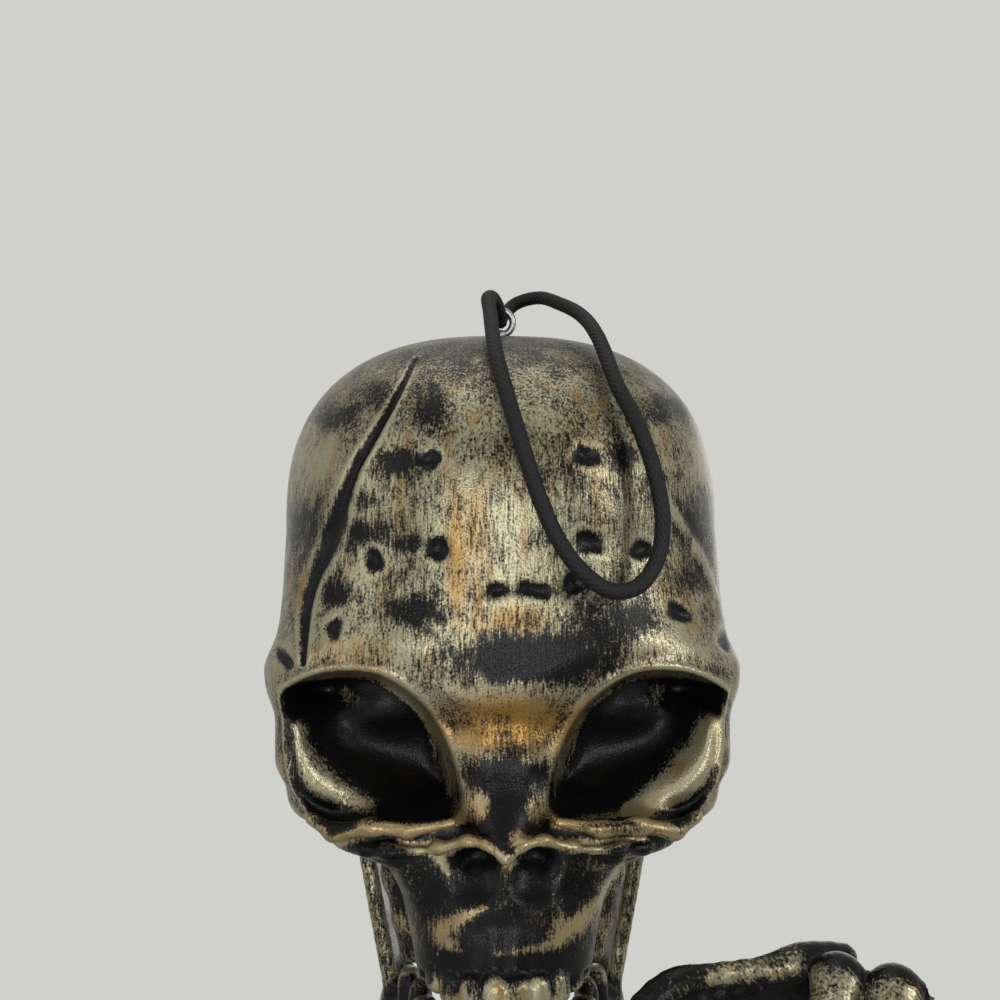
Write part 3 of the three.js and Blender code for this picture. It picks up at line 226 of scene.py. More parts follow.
def surfaceOf(field, values=None):
    values = field["values"] if values is None else values
    step = field["step"]
    low = np.array([axis[0] for axis in field["axes"]])
    inside = values < 0
    corners = [(i, j, k) for i in (0, 1) for j in (0, 1) for k in (0, 1)]
    nx, ny, nz = values.shape
    filled = sum(inside[i:nx - 1 + i, j:ny - 1 + j, k:nz - 1 + k].astype(np.int8) for i, j, k in corners)
    cells = np.argwhere((filled > 0) & (filled < 8))
    index = np.full(filled.shape, -1, np.int32)
    index[tuple(cells.T)] = np.arange(len(cells))
    total = np.zeros((len(cells), 3))
    hits = np.zeros(len(cells))
    for a in corners:
        for axis in range(3):
            if a[axis]:
                continue
            b = list(a)
            b[axis] = 1
            va = values[tuple((cells + a).T)]
            vb = values[tuple((cells + b).T)]
            crossed = (va < 0) != (vb < 0)
            share = np.where(crossed, va / np.where(crossed, va - vb, 1), 0)
            point = np.array(a, float) + share[:, None] * (np.array(b) - np.array(a))
            total += point * crossed[:, None]
            hits += crossed
    verts = low + (cells + total / hits[:, None]) * step
    quads = []
    for axis in range(3):
        u, v = (axis + 1) % 3, (axis + 2) % 3
        near = np.take(inside, range(values.shape[axis] - 1), axis)
        far = np.take(inside, range(1, values.shape[axis]), axis)
        spots = np.argwhere(near != far)
        for way in (u, v):
            spots = spots[(spots[:, way] > 0) & (spots[:, way] < values.shape[way] - 1)]
        ring = []
        for du, dv in ((0, 0), (1, 0), (1, 1), (0, 1)):
            cell = spots.copy()
            cell[:, u] -= du
            cell[:, v] -= dv
            ring.append(index[tuple(cell.T)])
        ring = np.stack(ring, axis=1)
        outward = near[tuple(spots.T)]
        ring[~outward] = ring[~outward][:, ::-1]
        quads.append(ring)
    return verts, np.concatenate(quads)


def turned(verts, faces):  # makes sure that the faces look outward
    middle = verts[faces].mean(axis=1)
    across = np.cross(verts[faces[:, 2]] - verts[faces[:, 0]], verts[faces[:, 3]] - verts[faces[:, 1]])
    return faces if (middle * across).sum() > 0 else faces[:, ::-1]


def mouldedSkin(field, rounds, values=None):  # points, faces and links of a field's surface, lightly rounded
    verts, faces = surfaceOf(field, values)
    faces = turned(verts - verts.mean(axis=0), faces)
    links = neighbours(faces, len(verts))
    return softened(verts, links, rounds), faces, links


def pieceName(node):
    words = node.split("_")
    return words[0] + "".join(word.capitalize() for word in words[1:])


# hanging cord, a black braid looped through the ring and hanging in front of the forehead, in millimetres
cordSetup = dict(
    diameter=4.2, strands=8, turn=17.0, relief=0.2, step=0.4, around=40,
    # the second colour of the cord is a painted highlight on the raised strands of the braid
    colour="#050506", gloss="#0d0d0e", roughness=0.65, specular=0.3,
    route=((0, -0.6, 0.2), (-0.6, -5, 3.2), (-2.4, -11, 5.6), (-4, -18.5, 4.2), (-3.6, -28, -1.2),
           (-2.01, -53.47, -17.6), (1, -64.35, -30.48), (4.55, -69.56, -43.29), (8.65, -71.8, -55.85),
           (13.09, -73.12, -65.82), (19.13, -74.05, -73.81), (26.28, -73.42, -78.39), (32.96, -72.07, -77.34),
           (38.07, -69.98, -70.83), (39.67, -68.63, -60.87), (37.76, -67.37, -48.76), (34.35, -63.99, -37.31),
           (29.86, -57.73, -26.48), (26.5, -38, -10), (23.5, -21, -1.2), (18.5, -7, 4.6), (12, 4, 8.6),
           (5, 9.5, 7.6), (0.8, 7, 3), (0, 1.2, 0.2)),
)


def smoothRoute(points, step, stepsPerPoint=60):  # passes through every point, at even steps
    p = np.array(points, float)
    p = np.concatenate([[2 * p[0] - p[1]], p, [2 * p[-1] - p[-2]]])
    knots = np.concatenate([[0], np.cumsum(np.sqrt(np.linalg.norm(np.diff(p, axis=0), axis=1)))])
    fine = []
    for i in range(1, len(p) - 2):
        t0, t1, t2, t3 = knots[i - 1:i + 3]
        t = np.linspace(t1, t2, stepsPerPoint, endpoint=False)[:, None]

        def mixed(a, b, start, end):
            return (end - t) / (end - start) * a + (t - start) / (end - start) * b

        before, here = mixed(p[i - 1], p[i], t0, t1), mixed(p[i], p[i + 1], t1, t2)
        after = mixed(p[i + 1], p[i + 2], t2, t3)
        fine.append(mixed(mixed(before, here, t0, t2), mixed(here, after, t1, t3), t1, t2))
    fine = np.concatenate(fine + [p[-2:-1]])
    far = np.concatenate([[0], np.cumsum(np.linalg.norm(np.diff(fine, axis=0), axis=1))])
    at = np.linspace(0, far[-1], int(far[-1] / step) + 1)
    return np.stack([np.interp(at, far, fine[:, k]) for k in range(3)], axis=1), far[-1]


def braidMaterial():
    # braided polyester cord: soft black sheath, with a painted highlight, a paler colour where the strands stand up
    material, tree, shader = newMaterial("braided polyester cord")
    s = cordSetup
    lift = add(tree, "Attribute", out="Fac", attribute_name="strand")
    colour = add(tree, "Mix", {"Factor": lift, "A": linear(s["colour"]), "B": linear(s["gloss"])}, "Result",
                 data_type="RGBA")
    tree.links.new(colour, shader.inputs["Base Color"])
    shader.inputs["Roughness"].default_value = s["roughness"]
    shader.inputs["Specular IOR Level"].default_value = s["specular"]
    return material


def makeCord():
    s = cordSetup
    path, length = smoothRoute(s["route"], s["step"])
    along = np.gradient(path, axis=0)
    along /= np.linalg.norm(along, axis=1, keepdims=True)
    side = np.cross(along[0], (0.0, 0.0, 1.0))
    sides = []
    for t in along:  # carried along the route without twisting
        side = side - t * side.dot(t)
        side = side / np.linalg.norm(side)
        sides.append(side)
    sides = np.array(sides)
    ups = np.cross(along, sides)
    angle = np.linspace(0, 2 * math.pi, s["around"], endpoint=False)
    run = np.arange(len(path))[:, None] * (length / (len(path) - 1))
    half = s["strands"] / 2
    left = np.abs(np.cos(half * (angle[None] + 2 * math.pi * run / s["turn"])))
    right = np.abs(np.cos(half * (angle[None] - 2 * math.pi * run / s["turn"])))
    strand = np.maximum(left, right) ** 2
    radius = s["diameter"] / 2 * (1 - s["relief"] * (1 - strand))
    ring = sides[:, None] * np.cos(angle)[None, :, None] + ups[:, None] * np.sin(angle)[None, :, None]
    verts = (path[:, None] + ring * radius[..., None]).reshape(-1, 3)
    count = len(angle)
    i = np.arange(len(path) - 1)[:, None] * count
    j = np.arange(count)[None]
    k = (j + 1) % count
    faces = np.stack([i + j, i + count + j, i + count + k, i + k], axis=-1).reshape(-1, 4)
    faces = turned(verts - path.mean(axis=0), faces)
    cord = meshObject("hangingCord", verts, faces, braidMaterial(), strand=strand.ravel())
    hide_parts("hanging_cord")
    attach(cord, "skull")
    print("cord made, %.0f mm long" % length)


makeCord()

# finish of the mouldings
finishSetup = dict(
    black="#0c0c0d", gold="#9d977c", warmGold="#8f6d38",
    strokeWidth=0.6, strokeLength=5.5, grit=0.6, blotch=6.5,  # brush marks and mottling, in millimetres
    warmStrokes=(0.22, 0.22, 0.03), warmFade=(0.52, 0.76),  # broad warmer strokes, per millimetre
    # what streaks, grit, blotches, edges and paint add to the cover, where it starts and how softly it fades in
    shares=(2.3, 1.5, 1.2, 0.75, 0.9), bare=-2.5, fade=(-0.48, 0.44),
    metallic=0.55, roughness=0.24, goldRoughness=0.02, gritRoughness=0.08, ior=1.51, specular=0.13,
    bump=0.35, bumpHeight=0.35, strokeHeight=0.6,
)


def goldRubbedPlastic():
    # black blow-moulded polyethylene, antique gold dry-brushed over it: the paint catches on raised
    # places and leaves streaks, the hollows stay black with a soft plastic gloss
    material, tree, shader = newMaterial("gold rubbed black polyethylene")
    s = finishSetup
    edge, paint, warmth = (add(tree, "Attribute", out="Fac", attribute_name=name)
                           for name in ("edge", "paint", "warmth"))
    grain = add(tree, "Attribute", out="Vector", attribute_name="grain")
    place = add(tree, "TexCoord", out="Object")
    perStroke = (1 / s["strokeWidth"], 1 / s["strokeWidth"], 1 / s["strokeLength"])
    strokes, tint = (add(tree, "VectorMath", {0: grain, 1: scale}, operation="MULTIPLY")
                     for scale in (perStroke, s["warmStrokes"]))
    streak = add(tree, "TexNoise", {"Vector": strokes, "Scale": 1.0, "Detail": 4.0, "Roughness": 0.6,
                                    "Distortion": 0.5})
    grit = add(tree, "TexNoise", {"Vector": place, "Scale": 1000 / s["grit"], "Detail": 2.0})
    blotch = add(tree, "TexNoise", {"Vector": place, "Scale": 1000 / s["blotch"], "Detail": 3.0, "Roughness": 0.6})
    level = s["bare"]
    for part, share in zip((streak, grit, blotch, edge, paint), s["shares"]):
        level = add(tree, "Math", {0: part, 1: share, 2: level}, operation="MULTIPLY_ADD")
    cover = add(tree, "MapRange", {"Value": level, "From Min": s["fade"][0], "From Max": s["fade"][1]},
                interpolation_type="SMOOTHSTEP")
    tint = add(tree, "TexNoise", {"Vector": tint, "Scale": 1.0, "Detail": 3.0})
    tint = add(tree, "MapRange", {"Value": tint, "From Min": s["warmFade"][0], "From Max": s["warmFade"][1]})
    tint = add(tree, "Math", {0: warmth, 1: tint}, operation="MAXIMUM")
    gold = add(tree, "Mix", {"Factor": tint, "A": linear(s["gold"]), "B": linear(s["warmGold"])}, "Result",
               data_type="RGBA")
    colour = add(tree, "Mix", {"Factor": cover, "A": linear(s["black"]), "B": gold}, "Result", data_type="RGBA")
    metal = add(tree, "Math", {0: cover, 1: s["metallic"]}, operation="MULTIPLY")
    rough = s["roughness"]
    for part, share in ((cover, s["goldRoughness"]), (grit, s["gritRoughness"])):
        rough = add(tree, "Math", {0: part, 1: share, 2: rough}, operation="MULTIPLY_ADD")
    height = add(tree, "Math", {0: streak, 1: s["strokeHeight"], 2: grit}, operation="MULTIPLY_ADD")
    bump = add(tree, "Bump", {"Strength": s["bump"], "Distance": s["bumpHeight"] * mm, "Height": height})
    for socket, value in (("Base Color", colour), ("Metallic", metal), ("Roughness", rough), ("Normal", bump)):
        tree.links.new(value, shader.inputs[socket])
    shader.inputs["IOR"].default_value = s["ior"]
    shader.inputs["Specular IOR Level"].default_value = s["specular"]
    return material


bonePlastic = goldRubbedPlastic()
steelSetup = dict(dark="#8b8d8f", light="#a9abac", haze=1.5, roughness=(0.28, 0.48))  # haze in millimetres


def zincSteel():
    # zinc plated steel: cool grey, fine uneven haze, soft highlight
    material, tree, shader = newMaterial("zinc plated steel")
    s = steelSetup
    place = add(tree, "TexCoord", out="Object")
    haze = add(tree, "TexNoise", {"Vector": place, "Scale": 1000 / s["haze"], "Detail": 4.0})
    low, high = s["roughness"]
    rough = add(tree, "MapRange", {"Value": haze, "To Min": low, "To Max": high})
    colour = add(tree, "Mix", {"Factor": haze, "A": linear(s["dark"]), "B": linear(s["light"])}, "Result",
                 data_type="RGBA")
    tree.links.new(colour, shader.inputs["Base Color"])
    tree.links.new(rough, shader.inputs["Roughness"])
    shader.inputs["Metallic"].default_value = 1.0
    return material


steel = zincSteel()
bodyOf = {node: body for body, nodes in frame["record"]["behaviour"]["bodies"].items() for node in nodes}


def dress(node, verts, faces, edge, paint, warmth=None, axis=None):
    if axis is None:  # strokes run along the longest way of the piece
        spread = verts - verts.mean(axis=0)
        axis = np.linalg.svd(spread[::7], full_matrices=False)[2][0]  # some of the points are enough
    axis = np.array(axis, float) / np.linalg.norm(axis)
    other = np.cross(axis, (0.31, 0.84, 0.45))  # any way that isn't the axis
    other /= np.linalg.norm(other)
    grain = verts @ np.stack([other, np.cross(axis, other), axis], axis=1)
    made = meshObject(pieceName(node), verts, faces, bonePlastic, edge=edge, grain=grain, paint=paint,
                      warmth=np.zeros(len(verts)) if warmth is None else warmth)
    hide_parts(node)
    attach(made, bodyOf[node])


# skull, one field for both shells, parted at the seam, in millimetres
skullSetup = dict(
    frontStep=0.75, backStep=1.15, seam=7.0, seamGap=0.2, rounds=3, edge=(14, 0.8), faceY=-20,
    halfWidth=66.8, halfDepth=76.0, middleY=8.0, widestZ=-63.4, rise=58.0, drop=62.0, squareness=2.55,
    widerBehind=0.05, domeScale=60,
    # height, half width, front, back, share of the brow arch, squareness
    face=((-55, 44, -48, 8, 0, 2), (-69.4, 56, -62, 6, 0, 2), (-85.4, 62.5, -68.5, 2, 0.5, 2),
          (-94.4, 66.4, -70.5, -4, 0.9, 2.2), (-102.4, 65, -69.5, -10, 0.9, 2.5), (-111.4, 62.3, -64, -20, 0.5, 2.6),
          (-127.4, 61.8, -63, -28, 0, 2.6), (-139.4, 54, -64, -34, 0, 2.6), (-147.4, 44.5, -67, -34, 0, 2.5),
          (-151.4, 31.5, -69, -32, 0, 2.3), (-160, 27.4, -70, -30, 0, 2.1), (-170, 25, -69.5, -32, 0, 2.2),
          (-178, 23.6, -68.5, -36, 0, 2.2)),
    browArch=dict(rise=6, drop=2, middle=34, half=36, reach=1.2),
    # rounded lumps and cuts: centre and half sizes
    base=((0, 12, -125.4), (40, 42, 24)), mastoid=((37, 24, -136), (10, 12, 15)),
    noseRoot=((0, -71.5, -121), (12, 3, 3.5)), noseOpening=((7.6, -71.5, -150.5), (7.0, 7.5, 7.6)),
    noseTop=((7.4, -69, -147.6), (5.4, 8.5, 3.8)), besideNose=((21, -70, -154), (7, 5, 8)),
    underNose=((0, -72.5, -163), (11, 3.5, 4.5)),
    # bars and ridges: x, y, z and radius
    cheekArch=((52, -46, -136.4, 4.4), (57.5, -22, -133, 3.4), (58.5, 0, -124, 3.4), (55, 15, -107.4, 5)),
    palatePlate=((27, -38, -146, 6.5), (28, -38, -160, 5.5), (26, -38, -172, 4.5), (25, -38, -181, 4)),
    noseBridge=((4.5, -57, -109, 9), (4.5, -59.5, -120, 7.6), (4, -63, -133, 6), (1.5, -69.5, -140.5, 4.4)),
    cheekRidge=((50, -59, -138.5, 1.5), (44, -62.2, -141.2, 2.0), (34, -65, -139, 2.0), (24.5, -66.4, -139.4, 1.9),
                (13.5, -68, -137.2, 1.3)),
    noseWing=((0, -76, -143.2, 1.7), (4.3, -74.2, -141.2, 1.6), (9.5, -72, -140.8, 1.6), (17, -69, -144, 2.0),
              (22, -68, -145, 1.9), (30, -65.5, -145.2, 1.5), (36, -62.3, -145.8, 0.9), (43, -56, -146, 0.5)),
    wingFoot=((17, -68, -143.5, 1.8), (15.5, -67, -152, 0.8)),
    upperTeeth=dict(count=10, reach=24.0, narrow=0.86, middle=-179.6, length=9.6),
    # hinge bosses for the jaw, and ears for the neck with the slot between them
    jawBoss=dict(y=-8, z=-139.4, radius=8, inner=16, outer=37.6),
    neckEar=dict(y=24, low=-150, high=-130, radius=9.6, inner=10.6, outer=15, slotTop=-147, slotRadius=12),
)


def domeField(field):
    s = skullSetup
    x, y, z = gridOf(field)
    along = (y - s["middleY"]) / s["halfDepth"]
    across = x / (s["halfWidth"] * (1 + s["widerBehind"] * np.clip(along, -1, 1)))
    up = (z - s["widestZ"]) / np.where(z > s["widestZ"], s["rise"], s["drop"])
    power = s["squareness"]
    ratio = (np.abs(across) ** power + np.abs(along) ** power + np.abs(up) ** power) ** (1 / power)
    return (ratio - 1) * s["domeScale"]


def faceField(field):
    rows = np.array(skullSetup["face"][::-1], float)
    brow = skullSetup["browArch"]
    spare, step, blur = 10, 0.5, 7  # the rows are read at fine steps and blurred over some of them
    fine = np.arange(rows[0, 0] - spare, rows[-1, 0] + spare, step)
    kernel = np.hanning(2 * blur + 1) / np.hanning(2 * blur + 1).sum()
    table = []
    for k in range(1, 6):
        column = np.interp(fine, rows[:, 0], rows[:, k])
        table.append(np.convolve(np.pad(column, blur, mode="edge"), kernel, mode="valid"))
    x = field["axes"][0][:, None]
    z = field["axes"][2][None]
    swing = np.clip((np.abs(x) - brow["middle"]) / brow["half"], -brow["reach"], brow["reach"])
    arch = brow["rise"] * np.cos(np.pi * swing) - brow["drop"]
    height = z - np.interp(z, fine, table[3]) * arch
    half, front, back, power = (np.interp(height, fine, table[k]).astype(np.float32)[:, None, :] for k in (0, 1, 2, 4))
    x, y, _ = gridOf(field)
    deep = (back - front) / 2
    ratio = (np.abs(x / half) ** power + np.abs((y - (front + back) / 2) / deep) ** power) ** (1 / power)
    body = (ratio - 1) * np.minimum(half, deep)
    ends = np.maximum(height - rows[-1, 0], rows[0, 0] - height)[:, None, :]
    return np.maximum(body, ends).astype(np.float32)


# teeth along an arch, widths and lengths counted from the middle one outwards
toothSetup = dict(
    widths=(7.6, 6.4, 6.6, 6.2, 6.0), lengths=(1.0, 0.84, 0.96, 0.86, 0.8), widthReach=24, archY=-46, spread=1.35,
    halfDepth=3.6, taper=0.14, powers=(3, 2.6, 3.5), scale=3, box=6,
)


def teeth(field, count, reach, narrow, middle, length, root):
    s = toothSetup
    for i in range(count):
        share = (i + 0.5) / count * 2 - 1
        angle = share * s["spread"]
        place = min(int(abs(share) * count / 2), len(s["widths"]) - 1)
        wide = s["widths"][place] * reach / s["widthReach"]
        x0, y0 = narrow * reach * math.sin(angle), s["archY"] - reach * math.cos(angle)
        short = s["lengths"][place]
        centre = middle + root * length / 2 * (1 - short)

        def shape(x, y, z):
            u = (x - x0) * math.cos(angle) + (y - y0) * math.sin(angle)
            v = (y - y0) * math.cos(angle) - (x - x0) * math.sin(angle)
            w = (z - centre) / (length / 2 * short)
            taper = 1 - s["taper"] * np.clip(w * root, -1, 1)
            a, b, c = s["powers"]
            ratio = np.abs(u / (wide / 2 * taper)) ** a + np.abs(v / s["halfDepth"]) ** b + np.abs(w) ** c
            return (ratio ** (1 / a) - 1) * s["scale"]

        low = (x0 - s["box"], y0 - s["box"], middle - length / 2)
        high = (x0 + s["box"], y0 + s["box"], middle + length / 2)
        change(field, low, high, shape, soft=0.5)
        tube(field, ((x0 * 0.96, y0 + 2.6, middle + root * (length / 2 - 1), 2.6),
                     (x0 * 0.93, y0 + 3.4, middle + root * (length / 2 + 9), 1.6)), soft=2.5, both=False)


# eye sockets, drawn as an outline on the face and a floor behind it, x and z in millimetres
socketSetup = dict(
    outline=((58.5, -104.5), (50, -101), (41.4, -100), (31.7, -101.5), (22, -108), (16.2, -116), (13, -126),
             (12.4, -134), (15, -137.5), (24.5, -138.5), (34, -138), (45, -140.5), (51, -138.5), (56.5, -131.6),
             (59, -120), (59.5, -109)),
    floorY=-41.0, draft=0.28, draftY=-60,
    lip=0.6, lipZ=-134, lipSpan=14, lipLeast=0.1,  # rolled rim, thinner low down
    # rolled bulge low in the socket: x, z, half width, then how far it stands up and how much more outwards
    swelling=((32, -139, 8.5), (46, -133, 8.5), (55, -124, 8.5), (57, -116, 7.5)),
    swellRise=11, swellMore=6, swellX=32, swellSpan=24,
    # hollow at the outer corner and rise at the inner one: x, z, half width, half height, depth
    floorMarks=((51, -108, 8, 7, 7), (33, -112, 15, 8, -5)),
    # x, z, half width of the gold along the bulge on each side, and its weight; the gold is rubbed paint, and the
    # greater weight on the +x side is painted light, where more light falls on that bulge
    rubbed=((((31, -133, 1.6), (38, -131, 4.0), (44, -126.5, 5.4), (49.5, -120, 5.2), (51.5, -113.5, 3.5)), 1.5),
            (((-51, -113.5, 2.5), (-49, -121, 5.0), (-43.5, -127.5, 6.0), (-34, -132, 3.0)), 0.86)),
    black=1.3, gold=1.7, fade=1.2, temple=0.6, templeSpan=0.3,  # black of the hollow, and where it ends
)


def between(a, b, c, d, t):  # smooth way from b to c, with a before and d after them
    return 0.5 * (2 * b + (c - a) * t + (2 * a - 5 * b + 4 * c - d) * t ** 2 + (3 * b - a - 3 * c + d) * t ** 3)


def closedCurve(points, steps):
    p = np.array(points, float)
    t = np.linspace(0, 1, steps, endpoint=False)[:, None]
    return np.concatenate([between(*(p[(i + k) % len(p)] for k in (-1, 0, 1, 2)), t) for i in range(len(p))])


def outlineGap(x, z, outline):  # distance to a closed outline, below 0 inside it
    gap = np.full(np.broadcast(x, z).shape, 1e9)
    inside = np.zeros(gap.shape, bool)
    for a, b in zip(outline, np.roll(outline, -1, axis=0)):
        d = b - a
        share = np.clip(((x - a[0]) * d[0] + (z - a[1]) * d[1]) / (d @ d), 0, 1)
        gap = np.minimum(gap, np.hypot(x - a[0] - share * d[0], z - a[1] - share * d[1]))
        if a[1] != b[1]:
            inside ^= ((a[1] > z) != (b[1] > z)) & (x < a[0] + (z - a[1]) * d[0] / d[1])
    return np.where(inside, -gap, gap)


def smoothLine(points, steps):  # open curve through points of any number of columns
    p = np.array(points, float)
    p = np.concatenate([[2 * p[0] - p[1]], p, [2 * p[-1] - p[-2]]])
    t = np.linspace(0, 1, steps, endpoint=False)[:, None]
    return np.concatenate([between(*four, t) for four in zip(p, p[1:], p[2:], p[3:])] + [p[-2:-1]])


def lineGap(points, line):  # how far from a line of x, z and half width, counted in half widths
    best = np.full(len(points), 1e9)
    for a, b in zip(line, line[1:]):
        way = b[:2] - a[:2]
        share = np.clip(((points - a[:2]) @ way) / (way @ way), 0, 1)
        gap = np.linalg.norm(points - a[:2] - share[:, None] * way, axis=1)
        best = np.minimum(best, gap / (a[2] + share * (b[2] - a[2])))
    return best


def carveSockets(field):
    s = socketSetup
    near = field["axes"][1] < skullSetup["faceY"]
    if not near.any():
        return
    x = np.abs(field["axes"][0])[:, None]
    z = field["axes"][2][None]
    edge = outlineGap(x, z, closedCurve(s["outline"], 6))
    grid = np.stack(np.broadcast_arrays(x, z), axis=-1).reshape(-1, 2)
    off = lineGap(grid, smoothLine(s["swelling"], 3)).reshape(edge.shape)
    rise = s["swellRise"] + s["swellMore"] * np.clip((x - s["swellX"]) / s["swellSpan"], 0, 1)
    floor = s["floorY"] - rise * np.exp(-off ** 2)
    for markX, markZ, wide, tall, depth in s["floorMarks"]:
        floor = floor + depth * np.exp(-((x - markX) / wide) ** 2 - ((z - markZ) / tall) ** 2)
    y = gridOf(field)[1][:, near]
    before = field["values"][:, near]
    wall = edge[:, None] + s["draft"] * (y - s["draftY"])
    hole = softMax(wall, y - floor[:, None], soft=5.0).astype(np.float32)
    after = softMax(before, -hole, soft=1.6)
    lip = (s["lip"] * np.clip((z - s["lipZ"]) / s["lipSpan"], s["lipLeast"], 1))[:, None]
    rim = np.hypot(before, wall.astype(np.float32)) - lip
    field["values"][:, near] = softMin(after, rim, soft=1.8).astype(np.float32)


def skullField(low, high, step):
    s = skullSetup
    field = newField(low, high, step)
    field["values"] = softMin(domeField(field), faceField(field), soft=9.0)
    blob(field, *s["base"], soft=10)
    tube(field, s["cheekArch"], soft=5)
    blob(field, *s["mastoid"], soft=12)
    tube(field, s["palatePlate"], soft=3)
    tube(field, s["noseBridge"], soft=5)
    blob(field, *s["noseRoot"], soft=3, cut=True)
    carveSockets(field)
    tube(field, s["cheekRidge"], soft=2.5)
    tube(field, s["noseWing"], soft=2.2)
    tube(field, s["wingFoot"], soft=2.0)
    blob(field, *s["noseOpening"], power=2.2, tilt=-10, soft=4.0, cut=True)
    blob(field, *s["noseTop"], power=2.2, tilt=-14, soft=2.5, cut=True)
    blob(field, *s["besideNose"], soft=5, cut=True)
    blob(field, *s["underNose"], soft=4, cut=True)
    teeth(field, root=1, **s["upperTeeth"])
    x, y, z = gridOf(field)
    wide = np.abs(x)
    hinge, ear = s["jawBoss"], s["neckEar"]
    boss = np.sqrt((y - hinge["y"]) ** 2 + (z - hinge["z"]) ** 2) - hinge["radius"]
    join(field, np.maximum(boss, np.maximum(wide - hinge["outer"], hinge["inner"] - wide)), soft=1.5)
    below = (y - ear["y"]) ** 2 + np.minimum(z - ear["low"], 0) ** 2
    lug = np.sqrt(below + np.maximum(z - ear["high"], 0) ** 2) - ear["radius"]
    join(field, np.maximum(lug, np.maximum(wide - ear["outer"], ear["inner"] - wide)), soft=1.0)
    slot = np.sqrt(below + np.maximum(z - ear["slotTop"], 0) ** 2) - ear["slotRadius"]
    carve(field, np.maximum(slot, wide - ear["inner"]))
    return field


def frontView(verts):  # where a point shows on a plane through the brow, seen from the front
    browY, farY, farZ = -70, -338, -55.9
    scale = (browY - farY) / (verts[:, 1] - farY)
    return np.stack([verts[:, 0] * scale, farZ + (verts[:, 2] - farZ) * scale], axis=1)


